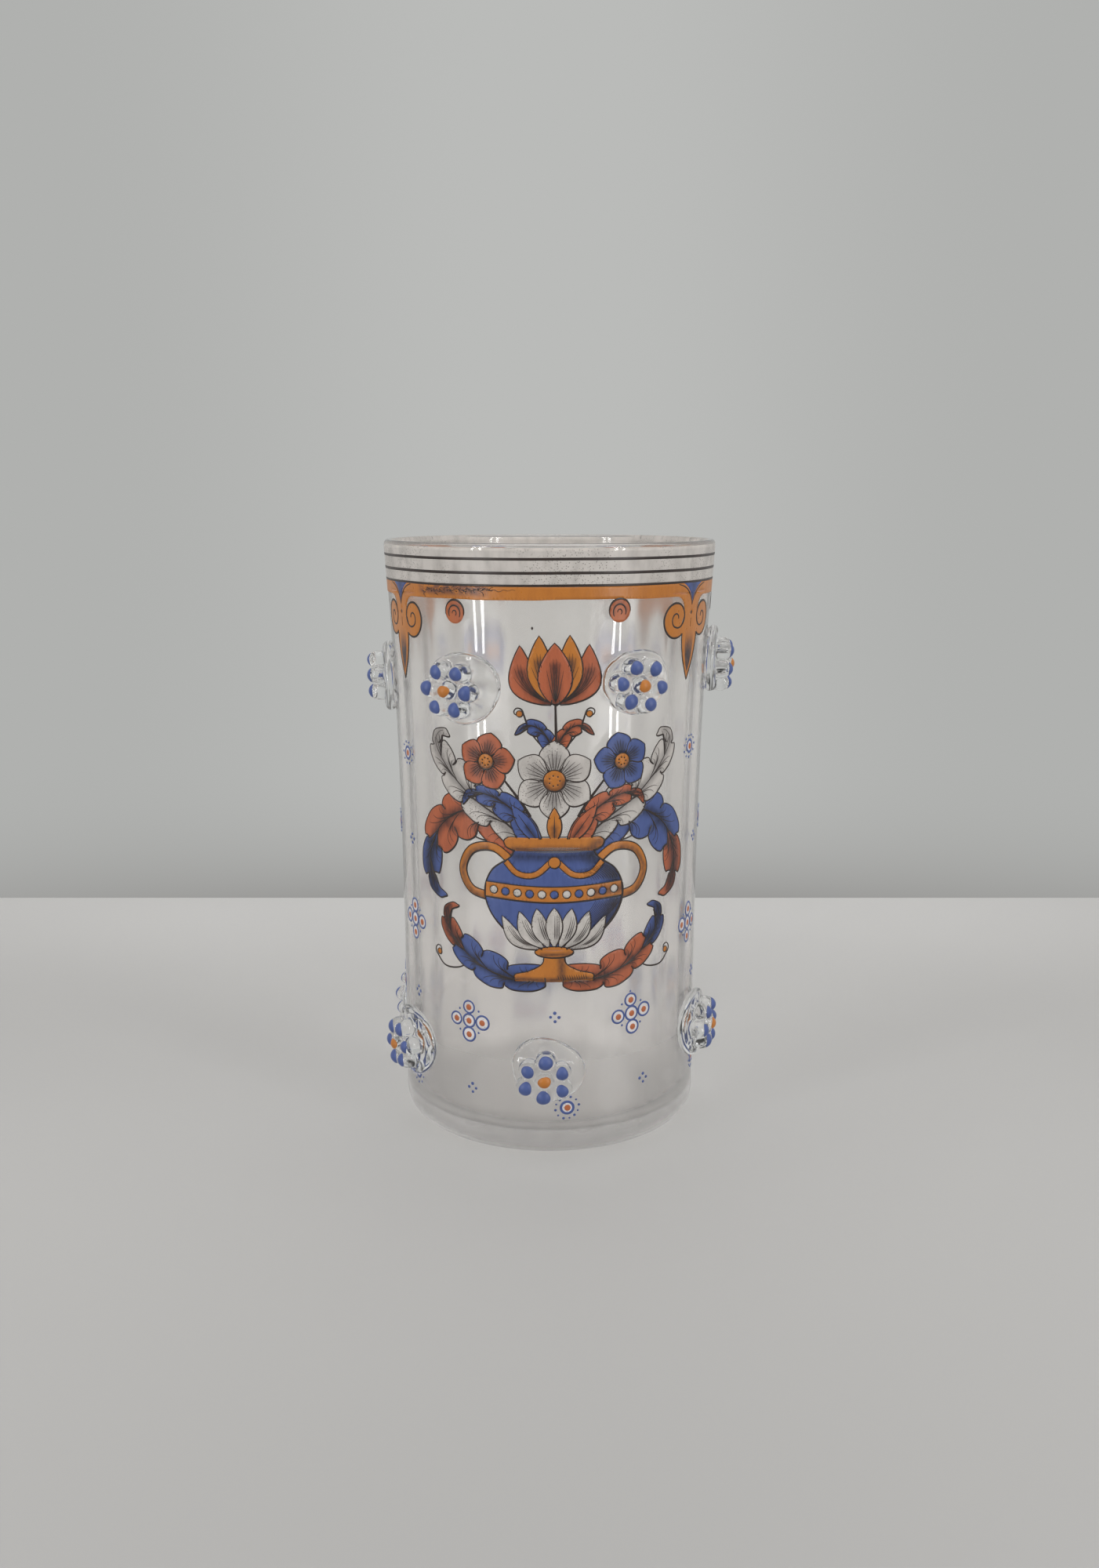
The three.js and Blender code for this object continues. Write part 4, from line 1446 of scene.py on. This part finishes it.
class VASE_OT_stage(bpy.types.Operator):
    """Make the camera, the floor, the background and the lamps"""

    bl_idname = "vase.make_stage"
    bl_label = "Stage"

    def execute(self, context):
        stage = context.scene.vase_stage
        self.make_camera(context, stage)
        self.make_floor(stage)
        self.make_world(context, stage)
        self.make_lamps(context, stage)
        context.scene.view_settings.view_transform = "Standard"
        return {"FINISHED"}

    @staticmethod
    def make_camera(context, stage):
        """The camera stands in front of the vase and looks a little down on it."""
        camera = bpy.data.cameras.new("camera")
        camera.lens = stage.lens
        camera.sensor_width = 36.0
        camera.clip_start = 0.01
        obj = bpy.data.objects.new("camera", camera)
        obj.location = (0, -stage.camera_distance, stage.camera_height)
        obj.rotation_euler = (math.pi / 2 - stage.camera_pitch, 0, 0)
        context.scene.collection.objects.link(obj)
        context.scene.camera = obj

    @staticmethod
    def make_floor(stage):
        """A pale table with painted light: darker towards the camera and lighter towards its far edge."""
        side, front, back, thick = 1.5, -1.5, stage.table_depth, 0.01
        near, far = (-0.25, 0.0), (0.06, back)
        outline = ((-side, front), (side, front), (side, back), (-side, back))
        points = [(*corner, z) for z in (-thick, 0) for corner in outline]
        faces = [(3, 2, 1, 0), (4, 5, 6, 7), (0, 1, 5, 4), (1, 2, 6, 5), (2, 3, 7, 6), (3, 0, 4, 7)]
        floor = new_object("floor", points, faces, smooth=False)
        material, tree = new_material("pale_floor")
        beyond = axes(tree, object_place(tree))["Y"]
        # Painted shade towards the camera and painted light towards the far edge
        tone = mixed(tree, smooth_step(tree, beyond, *near), stage.floor_near_shaded, stage.floor)
        tone = mixed(tree, smooth_step(tree, beyond, *far), tone, stage.floor_far_lit)
        tone = overlaid(tree, tone, noise(tree, 6.0, 2.0), 0.25, darker(stage.floor, 0.85))
        tone = overlaid(tree, tone, noise(tree, 700.0), 0.12, darker(stage.floor, 0.8))
        finish_material(tree, principled(tree, tone, 0.75))
        floor.data.materials.append(material)

    @staticmethod
    def make_world(context, stage):
        """A wall behind the table, seen and mirrored as it is, with painted shade near the floor, and an even
        light from all round.
        """
        world = bpy.data.worlds.new("room")
        context.scene.world = world
        world.use_nodes = True
        tree = world.node_tree
        tree.nodes.clear()
        x, _, z = axes(tree, add(tree, "ShaderNodeTexCoord").outputs["Generated"])
        fall, start = -8.3, -1.27
        near_floor = maths(tree, "MULTIPLY_ADD", z, fall, start, clamp=True)
        aside = maths(tree, "ABSOLUTE", x)
        wall = mixed(tree, smooth_step(tree, aside, 0.03, 0.3), stage.wall_light, stage.wall_aside)
        wall = mixed(tree, smooth_step(tree, aside, 0.4, 0.7), wall, stage.wall_beyond)
        # Darker near the floor: painted shade
        tone = mixed(tree, maths(tree, "POWER", near_floor, 3.0), wall, stage.wall_shaded)
        seen = add(tree, "ShaderNodeBackground", Color=tone, Strength=1.0)
        light = add(tree, "ShaderNodeBackground", Color=(1.0, 0.995, 0.985, 1.0), Strength=stage.world_light)
        rays = add(tree, "ShaderNodeLightPath").outputs
        shows = maths(tree, "MAXIMUM", rays["Is Camera Ray"],
                      maths(tree, "MAXIMUM", rays["Is Glossy Ray"], rays["Is Transmission Ray"]))
        mix = add(tree, "ShaderNodeMixShader", _0=shows, _1=light.outputs[0], _2=seen.outputs[0])
        add(tree, "ShaderNodeOutputWorld", Surface=mix.outputs[0])

    @staticmethod
    def make_lamps(context, stage):
        """A wide lamp above, and tall narrow ones in front that leave upright glints on the glass."""
        away, level = 0.52, 0.31
        top_size, strip_size = (1.1, 1.1), (stage.strip_width, 0.6)
        lamps = [("top", (0.05, -0.04, 1.3), (0, 0, 0.1), top_size, stage.top_power)]
        for name, azimuth in (("left", -50), ("left_bar", -45), ("right", 43), ("right_bar", 48)):
            turn = math.radians(azimuth)
            place = (away * math.sin(turn), -away * math.cos(turn), level)
            lamps.append((name, place, (0, 0, level), strip_size, stage.strip_power))
        for name, place, target, (wide, tall), power in lamps:
            name = f"{name}_lamp"
            lamp = bpy.data.lights.new(name, "AREA")
            lamp.shape = "RECTANGLE"
            lamp.size = wide
            lamp.size_y = tall
            lamp.energy = power
            obj = bpy.data.objects.new(name, lamp)
            obj.location = place
            obj.rotation_euler = (Vector(target) - Vector(place)).to_track_quat("-Z", "Y").to_euler()
            obj.visible_camera = False
            obj.visible_transmission = False
            context.scene.collection.objects.link(obj)


# Points round the vase for each rib, and the rows over which the ribs come in under the lip and go out again
# at the floor
COLUMNS_A_RIB = 12
ROWS_IN = 6
ROWS_OUT = 14

# Points along each stretch of the section, and steps round a corner or the lip
PUSH_UP_POINTS = 14
OUTER_POINTS = 26
INNER_POINTS = 60
INNER_FLOOR_POINTS = 16
ARC_STEPS = 12


class VASE_OT_vessel(bpy.types.Operator):
    """Turn the glass body from its section and press its ribs"""

    bl_idname = "vase.make_vessel"
    bl_label = "Glass body"

    def execute(self, context):
        vessel = context.scene.vase_vessel
        section, ribbed, inside = self.section(vessel)
        columns = COLUMNS_A_RIB * vessel.rib_count
        angle = np.linspace(0, 2 * math.pi, columns, endpoint=False)
        rows = [np.stack([r * np.sin(angle), -r * np.cos(angle), np.full(columns, z)], 1)
                for r, z in section[1:-1]]
        points = np.vstack([*rows, [[0, 0, section[0][1]]], [[0, 0, section[-1][1]]]])
        count = len(rows) * columns
        faces = list(ring_faces(len(rows), columns, False))
        for j in range(columns):
            k = (j + 1) % columns
            faces.append((count, k, j))
            faces.append((count - columns + j, count - columns + k, count + 1))
        body = new_object("vase_glass", points, faces)
        for label, values, pole in (("ribbed", ribbed, 0), ("inside", inside, 1)):
            mark(body, label, np.concatenate([np.repeat(values[1:-1], columns), [0, pole]]))
        glass = glass_finish("clear_glass", vessel.clear, vessel.haze, VESSEL_STREAKS, vessel.mist,
                             vessel.frost)
        body = grown(body, rib_tree(), {
            "Rib Count": vessel.rib_count, "Rib Depth": vessel.rib_depth, "Rib Fade": vessel.rib_fade,
            "Lip Height": vessel.height, "Waviness": vessel.waviness, "Seed": 4.2, "Material": glass})
        settle(body, "clear_glass", "glass_body")
        return {"FINISHED"}

    @staticmethod
    def section(vessel):
        """Half the vessel's section from the axis under the foot to the axis inside.

        With it come two masks of its points: where the ribs press, and what is inside the vessel.
        """
        ring_outer = vessel.base_radius - vessel.outer_corner
        ring_inner = ring_outer - vessel.foot_ring_width
        inner_floor = vessel.base_radius - vessel.wall - vessel.inner_corner
        corner_top = vessel.floor_thickness + vessel.inner_corner
        lip = vessel.wall / 2

        def kick(radius, reach):
            """The rise of the push-up at a radius, where it ends at a reach."""
            return vessel.kick_height * (1 + math.cos(math.pi * min(radius / reach, 1))) / 2

        def arc(x, z, radius, start, end):
            """Points round a corner."""
            turns = np.radians(np.linspace(start, end, ARC_STEPS + 1))
            return [(x + radius * math.cos(a), z + radius * math.sin(a)) for a in turns]

        def upright(start, end, count, inset):
            """Points along the wall between two corners, inset from its outer face."""
            heights = np.linspace(start, end, count)[1:-1]
            return [(float(wall_radius(vessel, z)) - inset, z) for z in heights]

        points = [(r, kick(r, ring_inner)) for r in np.linspace(0, ring_inner, PUSH_UP_POINTS)]
        points += arc(ring_outer, vessel.outer_corner, vessel.outer_corner, -90, 0)
        points += upright(vessel.outer_corner, vessel.height - lip, OUTER_POINTS, 0)
        points += arc(vessel.rim_radius - lip, vessel.height - lip, lip, 0, 180)
        first = len(points)
        points += upright(vessel.height - lip, corner_top, INNER_POINTS, vessel.wall)
        last = len(points)
        points += arc(inner_floor, corner_top, vessel.inner_corner, 0, -90)
        inwards = np.linspace(inner_floor, 0, INNER_FLOOR_POINTS)[1:]
        points += [(r, vessel.floor_thickness + kick(r, inner_floor)) for r in inwards]
        ribbed, inside = np.zeros(len(points)), np.zeros(len(points))
        row = np.arange(first, last)
        ribbed[first:last] = np.clip((row - first) / ROWS_IN, 0, 1) * np.clip((last - row) / ROWS_OUT, 0, 1)
        inside[first:] = 1
        return points, ribbed, inside


# A prunt's skin: how often its ball is divided, the height in millimetres of the point that its rays run to,
# and where they start
PRUNT_FINENESS = 6
HEART_HEIGHT = 1.7
PRUNT_SEARCH = 22 * MM


class VASE_OT_prunts(bpy.types.Operator):
    """Melt each prunt from its pad, crown and lobes and lay it on the wall"""

    bl_idname = "vase.make_prunts"
    bl_label = "Prunts"

    def execute(self, context):
        vessel, prunts = context.scene.vase_vessel, context.scene.vase_prunts
        rays, faces = ball(PRUNT_FINENESS)
        glass = glass_finish("prunt_glass", prunts.clear, prunts.haze, PRUNT_STREAKS)
        for prunt, height in placed_prunts(context):
            right, up = prunt.shift
            heart = np.array([right / 2, up / 2, HEART_HEIGHT]) * MM
            flat = marched(lambda p, own=prunt: prunt_distance(prunts, own, p), heart, rays, PRUNT_SEARCH)
            obj = new_object(f"{prunt.name}_glass", wrapped(vessel, prunt, height, flat), faces)
            settle(obj, "prunt_glass", prunt.name, material=glass)
        return {"FINISHED"}


class VASE_OT_prunt_caps(bpy.types.Operator):
    """Dab enamel on the tips of the prunts' lobes"""

    bl_idname = "vase.make_prunt_caps"
    bl_label = "Lobe dots"

    def execute(self, context):
        vessel, prunts = context.scene.vase_vessel, context.scene.vase_prunts
        materials = enamel_materials(context.scene.vase_enamel)
        parts = {"blue": ([], []), "gold": ([], [])}
        for prunt, height in placed_prunts(context):
            for number, (centre, radii) in enumerate(prunt_lobes(prunts, prunt)):
                points, faces = parts["gold" if number == prunts.lobe_count else "blue"]
                flat, cap = cap_shell(prunts, prunt, centre, radii, number)
                start = sum(len(p) for p in points)
                points.append(wrapped(vessel, prunt, height, flat))
                faces.extend(tuple(start + i for i in face) for face in cap)
        for colour, (points, faces) in parts.items():
            obj = new_object(f"lobe_dots_{colour}", np.vstack(points), faces)
            settle(obj, ENAMEL_SLOTS[colour], material=materials[colour])
        return {"FINISHED"}


class VASE_OT_border(bpy.types.Operator):
    """Paint the white ground, the rings, the gold band, its pendants and the coral discs"""

    bl_idname = "vase.paint_border"
    bl_label = "Border under the rim"

    def execute(self, context):
        vessel, enamel = context.scene.vase_vessel, context.scene.vase_enamel
        materials = dict(enamel_materials(enamel), gold=bpy.data.materials["border_gold"])
        self.ground(vessel, enamel, materials["white"])
        self.rings(vessel, enamel, materials["ink"])

        def place(flat, out):
            """Points of the unrolled border, on the wall."""
            return on_wall(vessel, flat[:, 0] / BORDER_RADIUS, flat[:, 1] * MM, out)

        # 0.3 is the share of painted shade on the border's underside
        paint_drawing(context, border_drawing(), "border", place, materials, 0.3)
        return {"FINISHED"}

    @staticmethod
    def ground(vessel, enamel, material):
        """The thin white ground above the gold band."""
        heights = np.linspace(*GROUND, 12) * MM
        outer = [(z, enamel.lift + enamel.coat * 0.7) for z in heights]
        inner = [(z, enamel.lift) for z in heights[::-1]]
        points, faces = turned_band(vessel, outer + inner, BAND_COLUMNS)
        settle(new_object("rim_ground", points, faces), "enamel_white", material=material)

    @staticmethod
    def rings(vessel, enamel, material):
        """The black rings on the ground, each a little wavy."""
        all_points, all_faces = [], []
        bow = [(math.cos(a), math.sin(a)) for a in np.linspace(-math.pi / 2, math.pi / 2, 7)]
        for number, (height, width) in enumerate(RINGS):
            section = [((height + s * width / 2) * MM, enamel.lift + enamel.line * max(c, 0)) for c, s in bow]
            points, faces = turned_band(vessel, section, BAND_COLUMNS, (0.05 + 0.02 * number) * MM)
            all_faces.extend(faces + len(points) * number)
            all_points.append(points)
        settle(new_object("rim_rings", np.vstack(all_points), all_faces), "enamel_black", material=material)


class VASE_OT_dots(bpy.types.Operator):
    """Set the dot flowers, ring crosses and diamonds of dots"""

    bl_idname = "vase.paint_dots"
    bl_label = "Dot ornaments"

    def execute(self, context):
        vessel, enamel = context.scene.vase_vessel, context.scene.vase_enamel
        materials = enamel_materials(enamel)
        beads, rings = bead_tree("enamel_beads", False), bead_tree("enamel_rings", True)
        colours = {"dots_white": "white", "dots_coral": "coral"}
        bands = {"dots_hoops": 0.22, "dots_rings": 0.155}
        for name, dots in dot_places().items():
            angle, height, right, up, size, tall = np.array(dots).T
            at = (height + up) * MM
            turn = np.radians(angle) + right * MM / wall_radius(vessel, height * MM)
            obj = new_object(name, on_wall(vessel, turn, at, 0.02 * MM), [], smooth=False)
            mark(obj, "size", size * MM)
            mark(obj, "tall", tall * MM)
            hoop = name in bands
            colour = colours.get(name, "blue")
            finish = bpy.data.materials["enamel_bright"] if colour == "white" else materials[colour]
            grown(obj, rings if hoop else beads, {
                "Sides": 18 if hoop else 10, "Rings": 6, "Band": bands.get(name, 0.0), "Material": finish})
            settle(obj, ENAMEL_SLOTS[colour])
        return {"FINISHED"}


class VASE_OT_picture(bpy.types.Operator):
    """Paint the jar of flowers on the front"""

    bl_idname = "vase.paint_picture"
    bl_label = "Picture on the front"

    def execute(self, context):
        vessel, enamel = context.scene.vase_vessel, context.scene.vase_enamel

        def place(flat, out):
            """Points of the picture, on the wall."""
            angle = enamel.picture_angle + flat[:, 0] * MM / vessel.base_radius
            return on_wall(vessel, angle, flat[:, 1] * MM, out)

        # 0.2 is the share of painted shade on the picture's underside
        paint_drawing(context, jar_of_flowers(), "picture", place, enamel_materials(enamel), 0.2)
        return {"FINISHED"}


OPERATORS = (
    VASE_OT_stage, VASE_OT_vessel, VASE_OT_prunts, VASE_OT_prunt_caps, VASE_OT_border, VASE_OT_dots,
    VASE_OT_picture,
)
SETTINGS = {
    "vase_vessel": VesselSettings,
    "vase_prunts": PruntSettings,
    "vase_enamel": EnamelSettings,
    "vase_stage": StageSettings,
}


class VASE_PT_panel(bpy.types.Panel):
    """Lists the parts of the vase and their settings"""

    bl_label = "Enamelled glass vase"
    bl_idname = "VASE_PT_panel"
    bl_space_type = "VIEW_3D"
    bl_region_type = "UI"
    bl_category = "Vase"

    def draw(self, context):
        layout = self.layout
        for operator in OPERATORS:
            layout.operator(operator.bl_idname)
        for key, group in SETTINGS.items():
            box = layout.box()
            box.label(text=group.__doc__)
            for name in group.__annotations__:
                box.prop(getattr(context.scene, key), name)


CLASSES = (*SETTINGS.values(), *OPERATORS, VASE_PT_panel)


def register():
    """Registers the classes and hangs their settings on the scene."""
    for cls in CLASSES:
        bpy.utils.register_class(cls)
    for key, group in SETTINGS.items():
        setattr(bpy.types.Scene, key, PointerProperty(type=group))


def unregister():
    """Takes the settings and the classes away again."""
    for key in SETTINGS:
        delattr(bpy.types.Scene, key)
    for cls in reversed(CLASSES):
        bpy.utils.unregister_class(cls)


def main():
    """Makes every piece and the stage."""
    register()
    for operator in OPERATORS:
        group, name = operator.bl_idname.split(".")
        getattr(getattr(bpy.ops, group), name)()


if __name__ == "__main__":
    main()
